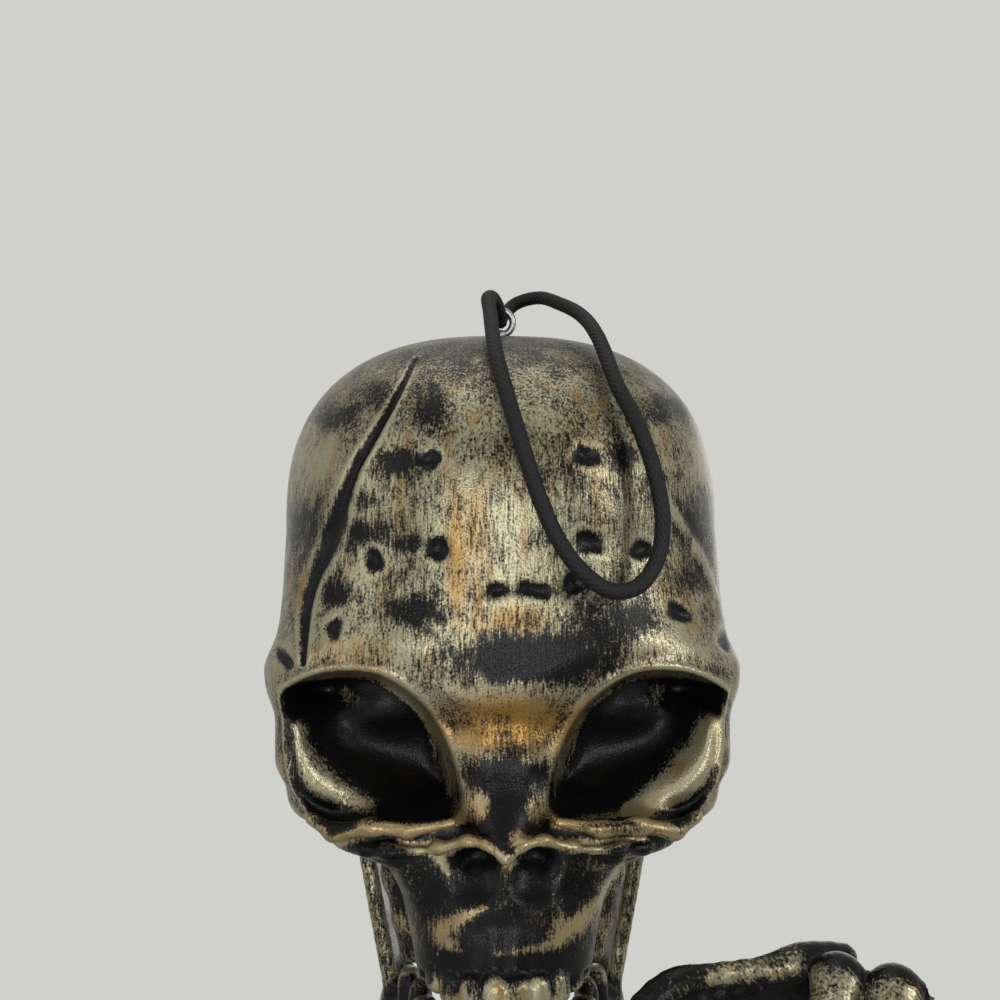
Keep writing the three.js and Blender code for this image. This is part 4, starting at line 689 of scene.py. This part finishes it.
# marks moulded and painted on the face, as x and z on the brow plane in millimetres
markSetup = dict(
    # x, z, half width along each crack, then its depth: the second is a fine raised line
    cracks=(
        (((-21.8, -20.5, 0.25), (-26.5, -29.5, 0.55), (-32.3, -39.6, 0.8), (-36.8, -47.1, 1.0),
          (-40.1, -55.4, 1.3), (-41.6, -61.4, 1.5), (-44.3, -68.9, 1.4), (-47.3, -75.6, 1.1),
          (-49.1, -82.4, 1.0), (-49.9, -89.9, 0.8), (-50.3, -96.6, 0.5)), 1.0),
        (((33, -36, 0.5), (37, -46, 0.8), (40.5, -55.4, 1.0), (44.5, -62, 1.0), (48, -67.4, 1.0),
          (51, -73.5, 0.9), (53.6, -80.4, 0.5)), -0.35),
    ),
    # x, z, half width, half height, tilt in degrees
    pits=((-18.7, -45.7, 2.4, 2.0, 20), (20.3, -44.7, 2.6, 2.1, -15), (-32.6, -71.0, 2.0, 2.5, 0),
          (-16.8, -68.0, 2.4, 2.6, 0), (-42.8, -88.0, 1.6, 2.4, -20), (21.3, -66.6, 3.4, 2.4, -10),
          (34.3, -68.3, 2.4, 2.0, 0), (43.8, -84.2, 2.8, 1.8, -35), (-54.8, -95.4, 1.5, 2.4, 20),
          (55.5, -91.2, 1.4, 2.4, 15)),
    dents=((-1.7, -78.6, 3.0, 1.7, 6), (7.2, -78.4, 4.4, 1.8, -4), (17.6, -76.9, 2.8, 2.4, 10)),
    # x, z, half width, half height, weight: above 0 more gold, below 0 left black
    patches=((0, -66, 9, 16, 0.22), (-12, -66, 4, 22, 0.2), (17, -46, 11, 7, -0.3), (-47, -47, 7, 7, 0.45),
             (52, -45, 6, 9, 0.35), (-33, -92, 18, 6, 0.18), (40, -92, 12, 5, 0.4), (2, -112, 14, 6, 0.4),
             (0, -104, 18, 3, 0.3), (30, -66, 6, 8, 0.15), (-26, -46.7, 7.5, 3.3, -0.95),
             (-18.7, -33, 4.5, 6.5, -0.8), (-47, -64, 7, 10, -0.6), (-35, -56, 3, 2.2, -0.6),
             (-34.5, -64, 5.5, 3.6, -0.8), (-24, -67, 4.5, 2.0, -0.7), (-42, -79, 3, 3.4, -0.9),
             (-22, -84, 7.5, 3.8, -1.0), (9, -96, 19, 6, -1.3), (29, -87, 11, 6, -0.8), (50, -62, 7, 8, -0.6),
             (47, -76, 5, 4, -0.5), (40, -33, 9, 3.5, -0.6), (-31, -30, 6, 4, -0.55), (-41, -35, 6, 3.5, -0.55),
             (30, -45, 3, 4, -0.7), (0, -19, 44, 5, -0.25), (2, -128, 11, 11, -1.3), (-5.8, -132, 2.0, 3.6, 1.2),
             (7.5, -132.5, 3.4, 5.4, 0.85), (3, -140.5, 3, 2.6, 1.6), (0, -141, 44, 5, -0.9),
             (0, -154, 34, 11, -1.0), (0, -172, 34, 8, -1.2), (-2.2, -178.4, 3.0, 3.6, 1.7),
             (7, -178.4, 3.0, 3.6, 1.7), (-11, -179.5, 1.2, 3, 1.2), (-17.4, -176, 1.2, 3, 1.1),
             (13.5, -176, 2.0, 5, 0.5), (-33, -145.2, 8.5, 3, -1.2), (33, -144.8, 7.5, 2.8, -1.0)),
    # brush strokes: x, z, half width along each, then its weight
    strokes=(
        (((31, -144.5, 0.7), (26.5, -151, 1.0), (23.5, -157, 1.8), (15, -163.5, 3.0), (11.2, -167.4, 1.8),
          (-2.5, -169.5, 1.0)), 0.98),
        (((-4.8, -157.6, 0.8), (-10.8, -160.6, 1.7), (-15.4, -163.6, 3.0), (-15, -166, 2.4),
          (-10.8, -169.2, 1.0)), 0.98),
        (((-30, -100, 1.2), (-17, -113, 1.5), (-6, -119, 1.8), (6, -121, 1.8), (14, -117, 1.2)), 0.6),
        (((-26.5, -141, 1.0), (-17.5, -142.8, 2.2), (-6.5, -141.5, 1.3), (1.4, -146.6, 1.4),
          (7.5, -141.5, 1.3), (16.5, -141.8, 1.6), (35, -140.5, 0.9)), 1.6),
        (((-17.5, -143, 1.8), (-14.2, -149, 0.9)), 1.4),
        (((-41, -141, 1.3), (-29.8, -137.4, 1.7), (-23.8, -138.2, 1.6), (-10.8, -136.4, 0.9)), 1.6),
        (((12, -137.4, 0.9), (16.5, -136.4, 1.5), (31.8, -135, 1.8), (42.5, -139, 1.3)), 1.6),
    ),
    # warmer gold: x, z, half width, half height, weight
    warm=((2, -112, 22, 8, 1.0), (-12, -70, 3, 18, 0.8), (17, -44, 11, 6, 0.35), (3, -86, 8, 4, 0.8),
          (0, -137, 60, 7, 0.6), (0, -162, 34, 10, 0.5)),
    crown=dict(black=0.1, z=-30, span=14),  # a little less gold on the top of the head
    # depth, lip, gold beside it and black in it of a crack; the same of a pit and a dent
    crackShares=(1.1, 0.2, 0.5, 1.6), pitShares=(1.2, 0.2, 1.4), dentShares=(0.9, 1.4),
    steep=3, lastY=12, wander=0.3,  # marks fade to the sides, end behind the brow and have ragged rims
)


def ellipseGap(points, x, z, wide, tall, tilt):
    u, w = points[:, 0] - x, points[:, 1] - z
    c, s = math.cos(math.radians(tilt)), math.sin(math.radians(tilt))
    return np.hypot((u * c + w * s) / wide, (w * c - u * s) / tall)


def faceMarks(verts, faces):
    s = markSetup
    normals = normalsOf(verts, faces)
    ahead = np.clip(-normals[:, 1] * s["steep"], 0, 1) * (verts[:, 1] < s["lastY"])
    seen = frontView(verts)
    x, z = seen.T
    ragged = seen + s["wander"] * np.stack([np.sin(z * 1.1 + x * 0.5), np.sin(x * 0.9 + z * 0.4)], axis=1)
    sunk = np.zeros(len(verts))
    paint = np.zeros(len(verts))
    deep, lip, gold, black = s["crackShares"]
    for line, depth in s["cracks"]:
        gap = lineGap(seen, smoothLine(line, 4))
        sunk += depth * (deep * np.exp(-gap ** 2) - lip * np.exp(-((gap - 2.1) / 0.8) ** 2))
        paint += depth * (gold * np.exp(-((gap - 2.0) / 0.6) ** 2) - black * np.exp(-(gap / 1.1) ** 2))
    deep, gold, black = s["pitShares"]
    for pit in s["pits"]:
        gap = ellipseGap(ragged, *pit)
        sunk += deep * np.exp(-gap ** 3)
        paint += gold * np.exp(-((gap - 1.7) / 0.4) ** 2) - black * np.exp(-(gap / 1.1) ** 4)
    deep, black = s["dentShares"]
    for dent in s["dents"]:
        gap = ellipseGap(ragged, *dent)
        sunk += deep * np.exp(-gap ** 3)
        paint -= black * np.exp(-gap ** 4)
    for *patch, weight in s["patches"]:
        paint += weight * np.exp(-ellipseGap(ragged, *patch, 0) ** 3)
    for line, weight in s["strokes"]:
        paint += weight * np.exp(-lineGap(seen, smoothLine(line, 3)) ** 2)
    return verts - normals * (sunk * ahead)[:, None], paint * ahead


def makeSkull():
    s, hollow, crown = skullSetup, socketSetup, markSetup["crown"]
    seam = s["seam"]
    for node, way, low, high, step in (
            ("skull_face", 1, (-70, -84, -188), (70, seam + 2, -2), s["frontStep"]),
            ("skull_back", -1, (-70, seam - 2, -164), (70, 88, -2), s["backStep"])):
        field = skullField(low, high, step)
        shell = np.maximum(field["values"], way * (gridOf(field)[1] - seam) + s["seamGap"])
        verts, faces, links = mouldedSkin(field, s["rounds"], shell)
        verts, paint = faceMarks(verts, faces)
        edge = raisedEdges(verts, faces, links, *s["edge"])
        seen = frontView(verts)
        inFront = verts[:, 1] < s["faceY"]
        inside = -outlineGap(np.abs(seen[:, 0]), seen[:, 1], closedCurve(hollow["outline"], 4))
        hole = np.clip(inside / hollow["fade"], 0, 1) * inFront
        outward = normalsOf(verts, faces)[:, 0] * np.sign(verts[:, 0])
        hole = hole * np.clip((hollow["temple"] - outward) / hollow["templeSpan"], 0, 1)  # not the temples beside them
        # gold rubbed along the bulges of the sockets; its greater weight on the +x side is painted light
        bulgeGoldAndLight = np.zeros(len(verts))
        for line, weight in hollow["rubbed"]:
            bulgeGoldAndLight = np.maximum(bulgeGoldAndLight, weight * np.exp(-lineGap(seen, smoothLine(line, 3)) ** 2))
        paint = paint - (hollow["black"] - hollow["gold"] * bulgeGoldAndLight) * hole
        paint = paint - crown["black"] * np.clip((verts[:, 2] - crown["z"]) / crown["span"], 0, 1)
        warmth = np.zeros(len(verts))
        for *patch, weight in markSetup["warm"]:
            warmth = np.maximum(warmth, weight * np.exp(-ellipseGap(seen, *patch, 0) ** 4))
        dress(node, verts, faces, edge, paint, warmth * inFront, axis=(0, 0, 1))
        print(pieceName(node), len(verts), "points")


makeSkull()

# lower jaw: two flat rami, a deep arch and a row of teeth, in millimetres
jawSetup = dict(
    step=0.8, rounds=3, edge=(12, 0.7), edgeGold=0.4, hinge=(-8.0, -139.4), hole=2.3, seat=10, seatInner=18,
    inside=38.4, thick=5.0, lean=0.21, leanFrom=10, inset=0.4, hollow=0.75,
    # outline of a ramus, y and height over the hinge, with a raised edge around it
    ramus=((-3, 7), (-8, 8.5), (-14, 5), (-17, -4), (-21, -5), (-25, 3), (-28, 1), (-29, -16), (-33, -42), (-34, -69),
           (-14, -64), (-8, -57), (-3, -26), (0, -8)),
    rim=0.7, rimIn=2.0, rimWidth=1.6,
    arch=((29.6, -18, -200.4, 5.2), (29, -36, -204.4, 5.9), (21, -55, -206.4, 6.3), (10, -67, -207.4, 6.6),
          (0, -70, -207.9, 6.9)),
    archTall=0.66,
    chin=((0, -70.5, -214), (13, 6.5, 7)), chinKnob=((9, -69.5, -216), (5, 5, 4.5)),
    chinHollow=((0, -78, -204), (9, 3.2, 4)),
    teeth=dict(count=10, reach=22.5, narrow=1.0, middle=-190.4, length=9.8),
    backTeeth=((22.6, -46.5, -193), (26.2, -37.5, -193.5)), backTooth=(3.3, 4.4, 7.0),
    # gold all over, less on what looks ahead and around the teeth, more on the front teeth
    gold=-0.45, aheadBlack=0.5, mouthBlack=0.6, frontGold=0.8,
)


def makeJaw():
    s = jawSetup
    field = newField((-47, -82, -224), (47, 4, -127), s["step"])
    tube(field, smoothLine(s["arch"], 4), soft=1.0, tall=s["archTall"])
    blob(field, *s["chin"], power=2.2, soft=4)
    blob(field, *s["chinKnob"], soft=4)
    blob(field, *s["chinHollow"], soft=4, cut=True)
    x, y, z = gridOf(field)
    hingeY, hingeZ = s["hinge"]
    middle = s["inside"] + s["thick"] / 2 - np.maximum(0, hingeZ - s["leanFrom"] - z) * s["lean"]
    flat = outlineGap(y[0], z[0], closedCurve([(a, b + hingeZ) for a, b in s["ramus"]], 4))[None]
    rim = s["rim"] * np.exp(-((flat + s["rimIn"]) / s["rimWidth"]) ** 2)
    across = np.abs(np.abs(x) - middle) - s["thick"] / 2 + s["hollow"] - rim
    join(field, softMax(flat + s["inset"], across, soft=1.6), soft=3.0)
    teeth(field, root=-1, **s["teeth"])
    for place in s["backTeeth"]:
        blob(field, place, s["backTooth"], power=2.8, soft=1.5)
    radial = np.hypot(y - hingeY, z - hingeZ)
    carve(field, np.maximum(radial - s["seat"], np.maximum(np.abs(x) - s["inside"], s["seatInner"] - np.abs(x))))
    carve(field, radial - s["hole"])
    verts, faces, links = mouldedSkin(field, s["rounds"])
    edge = raisedEdges(verts, faces, links, *s["edge"])
    ahead = np.clip(-normalsOf(verts, faces)[:, 1], 0, 1)
    x, y, z = verts.T
    mouth = (z > -200) & (np.abs(x) < 34) & (y < -40)
    front = np.exp(-((np.abs(x) - 4) / 4) ** 2 - ((z + 190) / 5) ** 2) * (y < -60)
    paint = s["gold"] - s["aheadBlack"] * ahead - s["mouthBlack"] * mouth + s["frontGold"] * front
    dress("jaw", verts, faces, edge + s["edgeGold"] * np.clip(edge, 0, 1), paint, axis=(0, 0.3, 1))
    print("jaw", len(verts), "points")


makeJaw()

# hands: fingers curled in, the thumb laid across to the first finger, drawn once in the wrist's own frame
handSetup = dict(
    step=0.8, rounds=3, edge=(12, 0.7), tilt=-32.0, palm=65.0, bends=(88, 154, 186),
    # root, knuckle below the palm's end, bone lengths, thickness
    fingers=(((-9, 0, -24), (-18.5, 0, 0), (36, 23, 17), 4.5), ((-3, 0, -26), (-8.6, -1, -0.6), (37, 25, 18), 4.5),
             ((3, 0, -26), (0, -0.5, -1), (34, 23, 17), 4.3), ((9, 0, -24), (9.4, 0.5, 4.5), (28, 18, 14), 4.0)),
    # each bone outwards: near end, waist and far end as shares of the thickness, then its gold
    boneShapes=((0.95, 0.68, 1.14, -0.3), (1.1, 0.84, 1.12, -1.1), (1.12, 0.76, 1.0, 0.15), (0.98, 0.74, 0.72, 0.1)),
    boneSpots=(0, 0.28, 0.66, 1), waistSwell=1.06,
    thumb=((-7, 3, -20), (-28, 20, -27), (-46, 37, -36.5), (-50.3, 45, -48), (-46, 46, -56.3), (-40.5, 43.5, -60.2),
           (-32, 38, -64.6), (-26, 34, -68.2), (-20, 28, -71.5)),
    thumbThick=(4.4, 3.3, 4.3, 3.4, 2.8, 2.0, 2.1, 3.3, 2.8),
    thumbGold=(-0.3, -0.4, -0.9, -1.2, -1.0, -0.2, -0.25, -0.8),
    # thin web of the moulding: start and run of its end on the thumb, then of its end on the palm
    web=(((-46, 44, -53.5), (22, -12, -13.5)), ((-16, 4, -36), (0, 0, -26))),
    webCount=9, webThick=(2.0, 1.8), webGold=-1.2,
    wristBones=((-8, 0, -20), (0, -1, -18), (8, 0, -20), (-11, 1, -27), (-4, 0, -28), (4, 0, -28), (11, 0, -26)),
    wristHalf=1.4, wristRadius=5.0,
    # wrist hinge: tongue, its stem, the bore and the room around it
    hinge=8.0, half=4.0, hole=2.3, room=1.4, stemHalf=5.6, stemLong=11,
    goldReach=9.0, goldRounds=6, rightGold=0.4, topBlack=0.7,
    # wrist hinge of each hand: place, line of the pin, way to the palm
    left=((71.016, -149.211, -221.534), (0.88295, -0.23474, 0.40657), (-0.42888, -0.75555, 0.49518)),
    right=((-177.789, -98.891, -757.823), (0.87637, 0.45565, -0.15609), (-0.48006, 0.85264, -0.20626)),
)


def tilted(point):
    a = math.radians(handSetup["tilt"])
    x, y, z = point
    return np.array((x * math.cos(a) + z * math.sin(a), y, z * math.cos(a) - x * math.sin(a)))


def handField():  # the moulding, and its bones as start, end and gold
    s = handSetup
    field = newField((-66, -14, -94), (34, 60, 12), s["step"])
    bones = []
    for root, knuckle, lengths, thick in s["fingers"]:
        ends = [np.array(root, float), np.array(knuckle, float) - (0, 0, s["palm"])]
        for length, bend in zip(lengths, map(math.radians, s["bends"])):
            ends.append(ends[-1] + length * np.array((0, math.sin(bend), -math.cos(bend))))
        ends = [tilted(p) for p in ends]
        for a, b, (near, waist, far, gold) in zip(ends, ends[1:], s["boneShapes"]):
            spots = [a + (b - a) * share for share in s["boneSpots"]]
            widths = [thick * near, thick * waist * s["waistSwell"], thick * waist, thick * far]
            tube(field, [(*p, w) for p, w in zip(spots, widths)], soft=1.3, both=False)
            bones.append((a, b, gold))
    thumb = [tilted(p) for p in s["thumb"]]
    tube(field, smoothLine([(*p, w) for p, w in zip(thumb, s["thumbThick"])], 3), soft=1.0, both=False)
    bones += zip(thumb, thumb[1:], s["thumbGold"])
    for share in np.linspace(0, 1, s["webCount"]):
        a, b = (tilted(np.array(start) + share * np.array(run)) for start, run in s["web"])
        tube(field, [(*p, w) for p, w in zip((a, b), s["webThick"])], soft=1.5, both=False)
        bones.append((a, b, s["webGold"]))
    for p in s["wristBones"]:
        x, y, z = tilted(p)
        tube(field, [(x, y + end * s["wristHalf"], z, s["wristRadius"]) for end in (-1, 1)], soft=1.4, both=False)
    x, y, z = gridOf(field)
    radial = np.hypot(y, z)
    stem = np.maximum(np.abs(y) - s["stemHalf"], np.abs(z + s["stemLong"]) - s["stemLong"])
    tongue = softMax(np.minimum(radial - s["hinge"], stem), np.abs(x) - s["half"], soft=0.8)
    join(field, tongue, soft=1.5)
    carve(field, np.maximum(radial - s["hinge"] - s["room"], s["half"] - np.abs(x)))
    carve(field, radial - s["hole"])
    return field, bones


def makeHands():
    s = handSetup
    field, bones = handField()
    verts, faces, links = mouldedSkin(field, s["rounds"])
    edge = raisedEdges(verts, faces, links, *s["edge"])
    best = np.full(len(verts), s["goldReach"])
    paint = np.zeros(len(verts))
    for a, b, gold in bones:
        share = np.clip(((verts - a) @ (b - a)) / ((b - a) @ (b - a)), 0, 1)
        gap = np.linalg.norm(verts - a - share[:, None] * (b - a), axis=1)
        paint = np.where(gap < best, gold, paint)
        best = np.minimum(best, gap)
    for _ in range(s["goldRounds"]):
        paint = averaged(paint[:, None], links)[:, 0]
    for side, flip, share in (("left", 1, 1), ("right", -1, s["rightGold"])):
        place, across, palm = (np.array(v) for v in s[side])
        world = place + (verts * (flip, 1, 1)) @ np.stack([across, palm, np.cross(across, palm)])
        loops = faces[:, ::flip]
        upper = np.clip(normalsOf(world, loops)[:, 2], 0, 1)  # brushed from the front, so the tops stay darker
        dress("hand_" + side, world, loops, edge, share * paint - s["topBlack"] * upper)
    print("hands", len(verts), "points each")


makeHands()

# other mouldings, each skinned over its solid: voxel size in millimetres and smoothing rounds
boneSetup = dict(
    neck=(1.1, 20), ribcage_back=(1.5, 30), ribcage_front=(1.5, 60), lower_spine=(1.3, 24),
    hip_bone=(1.5, 70), shoulder_hub=(1.0, 14), upper_arm=(1.2, 40), forearm=(1.1, 30),
    hip_hub=(1.1, 14), thigh=(1.5, 40), shin=(1.3, 40), foot=(1.1, 20),
)
boneFinish = dict(edge=(10, 0.7), gold=-0.3, aheadGold=0.3)  # brushed mostly from the front


def skin(node, voxel):
    copy = bpy.data.objects.new("solidCopy", frame["nodes"][node].data.copy())
    scene.collection.objects.link(copy)
    copy.modifiers.new("remesh", "REMESH").voxel_size = voxel * mm
    copy.modifiers[0].mode = "VOXEL"
    made = bpy.data.meshes.new_from_object(copy.evaluated_get(bpy.context.evaluated_depsgraph_get()))
    verts = np.empty(len(made.vertices) * 3, np.float32)
    made.vertices.foreach_get("co", verts)
    faces = np.empty(len(made.loops), np.int32)
    made.loops.foreach_get("vertex_index", faces)
    oldMesh = copy.data
    bpy.data.objects.remove(copy)
    bpy.data.meshes.remove(oldMesh)
    bpy.data.meshes.remove(made)
    return verts.reshape(-1, 3).astype(float) / mm, faces.reshape(-1, 4)


def makeBones():
    for node in frame["nodes"]:
        kind = node.replace("_left", "").replace("_right", "")
        if kind not in boneSetup:
            continue
        voxel, rounds = boneSetup[kind]
        verts, faces = skin(node, voxel)
        links = neighbours(faces, len(verts))
        verts = softened(verts, links, rounds)
        edge = raisedEdges(verts, faces, links, *boneFinish["edge"])
        paint = boneFinish["gold"] - boneFinish["aheadGold"] * normalsOf(verts, faces)[:, 1]
        dress(node, verts, faces, edge, paint)
    print("bones made")


makeBones()

# screws and hinge pins, each turned on the line of its solid, in millimetres
fastenerSetup = dict(
    step=0.3, rounds=1, margin=1, near=0.1, headShare=0.95, overlap=0.2,
    crown=0.9, slot=0.45, slotDepth=1.1, slotReach=0.62,
)


def makeFastener(node):
    s = fastenerSetup
    holder = frame["nodes"][node].data
    points = np.empty(len(holder.vertices) * 3)
    holder.vertices.foreach_get("co", points)
    points = points.reshape(-1, 3) / mm
    middle = (points.min(axis=0) + points.max(axis=0)) / 2
    ways = np.linalg.svd(points - points.mean(axis=0), full_matrices=False)[2]
    along = (points - middle) @ ways[0]
    centre = middle + ways[0] * (along.min() + along.max()) / 2
    along = (points - centre) @ ways[0]
    out = np.linalg.norm(points - centre - along[:, None] * ways[0], axis=1)
    if out[along > along.max() - s["near"]].max() < out[along < along.min() + s["near"]].max():
        ways[0] = -ways[0]
        along = -along
    side = np.cross(ways[0], (0.2, 0.3, 0.9))  # any way that isn't its line
    side /= np.linalg.norm(side)
    low, high, wide = along.min(), along.max(), out.max()
    thin = out[along < low + s["near"]].max()
    seat = along[out > wide * s["headShare"]].min()
    room = wide + s["margin"]
    field = newField((-room, -room, low - s["margin"]), (room, room, high + s["margin"]), s["step"])
    x, y, z = gridOf(field)
    radial = np.hypot(x, y)
    shank = np.abs(z - (low + seat) / 2) - (seat - low) / 2 - s["overlap"]
    shank = softMax(radial - thin, shank, soft=0.9)
    crown = high - s["crown"] * (radial / wide) ** 2
    head = softMax(softMax(radial - wide, seat - z, soft=0.5), z - crown, soft=0.9)
    acrossX, acrossY = np.abs(x), np.abs(y)
    reach, half = wide * s["slotReach"], s["slot"]
    cross = np.minimum(np.maximum(acrossX - half, acrossY - reach), np.maximum(acrossY - half, acrossX - reach))
    cross = np.maximum(cross, high - s["slotDepth"] - z)
    field["values"] = softMax(np.minimum(shank, head), -cross, soft=0.25).astype(np.float32)
    verts, faces, _ = mouldedSkin(field, s["rounds"])
    world = centre + verts @ np.stack([side, np.cross(ways[0], side), ways[0]])
    made = meshObject(pieceName(node), world, faces, steel)
    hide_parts(node)
    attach(made, bodyOf[node])


for node in list(frame["nodes"]):
    if "screw" in node or "pin" in node.split("_"):
        makeFastener(node)
print("screws and pins made")

# ring in the crown, bent from wire, with its stem sunk in the skull, in millimetres
ringSetup = dict(step=0.25, rounds=2, ring=3.9, wire=1.1, neck=(-3.6, 1.3), stem=1.5, foot=-13.6)


def makeRing():
    s = ringSetup
    field = newField((-6.5, -4.5, s["foot"] - 1), (6.5, 4.5, 6.5), s["step"])
    x, y, z = gridOf(field)
    field["values"] = (np.hypot(np.hypot(x, z) - s["ring"], y) - s["wire"]).astype(np.float32)
    tube(field, ((0, 0, *s["neck"]), (0, 0, s["foot"] + s["stem"], s["stem"])), soft=0.8, both=False)
    verts, faces, _ = mouldedSkin(field, s["rounds"])
    made = meshObject("hangingEye", verts, faces, steel)
    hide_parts("hanging_eye")
    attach(made, bodyOf["hanging_eye"])


makeRing()

# pale floor, pale room and soft light, in metres; fill is the light that the room gives, seen is how bright it shows
stageSetup = dict(
    floor="#d9dad8", room="#d0d0cd", floorZ=-1.5245, reach=1.5, corners=96, glow=0.6, roughness=0.9,
    fill=0.25, seen=1.0,
)


def seenDirectly(tree):  # 1 where the eye, a reflection or a clear piece looks at a surface
    seen = add(tree, "LightPath", out="Is Camera Ray")
    path = seen.node
    for ray in ("Is Glossy Ray", "Is Transmission Ray"):
        seen = add(tree, "Math", {0: seen, 1: path.outputs[ray]}, operation="MAXIMUM")
    return seen


def makeStage():
    # painted board: plain matt pale grey, keeps a soft shadow under the feet
    material, tree, shader = newMaterial("matt painted board")
    s = stageSetup
    shader.inputs["Base Color"].default_value = linear(s["floor"])
    shader.inputs["Roughness"].default_value = s["roughness"]
    share = add(tree, "Math", {0: seenDirectly(tree), 1: s["glow"]}, operation="MULTIPLY")
    glow = add(tree, "Emission", {"Color": linear(s["floor"])})
    mixed = add(tree, "MixShader", {0: share, 1: shader.outputs[0], 2: glow})
    tree.links.new(mixed, tree.nodes["Material Output"].inputs["Surface"])
    angle = np.linspace(0, 2 * math.pi, s["corners"], endpoint=False)
    rim = np.stack([np.cos(angle), np.sin(angle), np.full(len(angle), s["floorZ"] / s["reach"])], axis=1)
    meshObject("floor", rim * s["reach"] / mm, np.arange(len(rim))[None], material)


makeStage()

# lamps: place and size in metres, watts, and the height under the ring that each is aimed at
lightSetup = dict(
    front=((-0.06, -1.3, -0.07), (0.24, 0.36), 4.5, -0.09),
    key=((0.95, -0.8, 0.3), (0.4, 0.4), 6.0, -0.09),
    top=((-0.1, 0.0, 1.0), (1.2, 0.8), 4, -0.09),
    side=((-0.95, -0.75, 0.2), (0.5, 0.9), 2.6, -0.09),
    low=((-0.5, -1.7, -1.1), (0.8, 0.8), 3, -1.15),
    back=((0.6, 1.7, -0.3), (1.2, 1.2), 5, -0.7),
)
for name, (place, size, power, aim) in lightSetup.items():
    lamp = bpy.data.lights.new(name, "AREA")
    lamp.shape = "RECTANGLE"
    lamp.size, lamp.size_y = size
    lamp.energy = power
    holder = bpy.data.objects.new(name, lamp)
    scene.collection.objects.link(holder)
    holder.location = place
    holder.rotation_mode = "QUATERNION"
    holder.rotation_quaternion = (Vector((0, 0, aim)) - Vector(place)).to_track_quat("-Z", "Y")
world = bpy.data.worlds.new("room")
world.use_nodes = True
tree = world.node_tree
level = add(tree, "MapRange", {"Value": seenDirectly(tree), "To Min": stageSetup["fill"], "To Max": stageSetup["seen"]})
tree.nodes["Background"].inputs["Color"].default_value = linear(stageSetup["room"])
tree.links.new(level, tree.nodes["Background"].inputs["Strength"])
scene.world = world
print("light set")
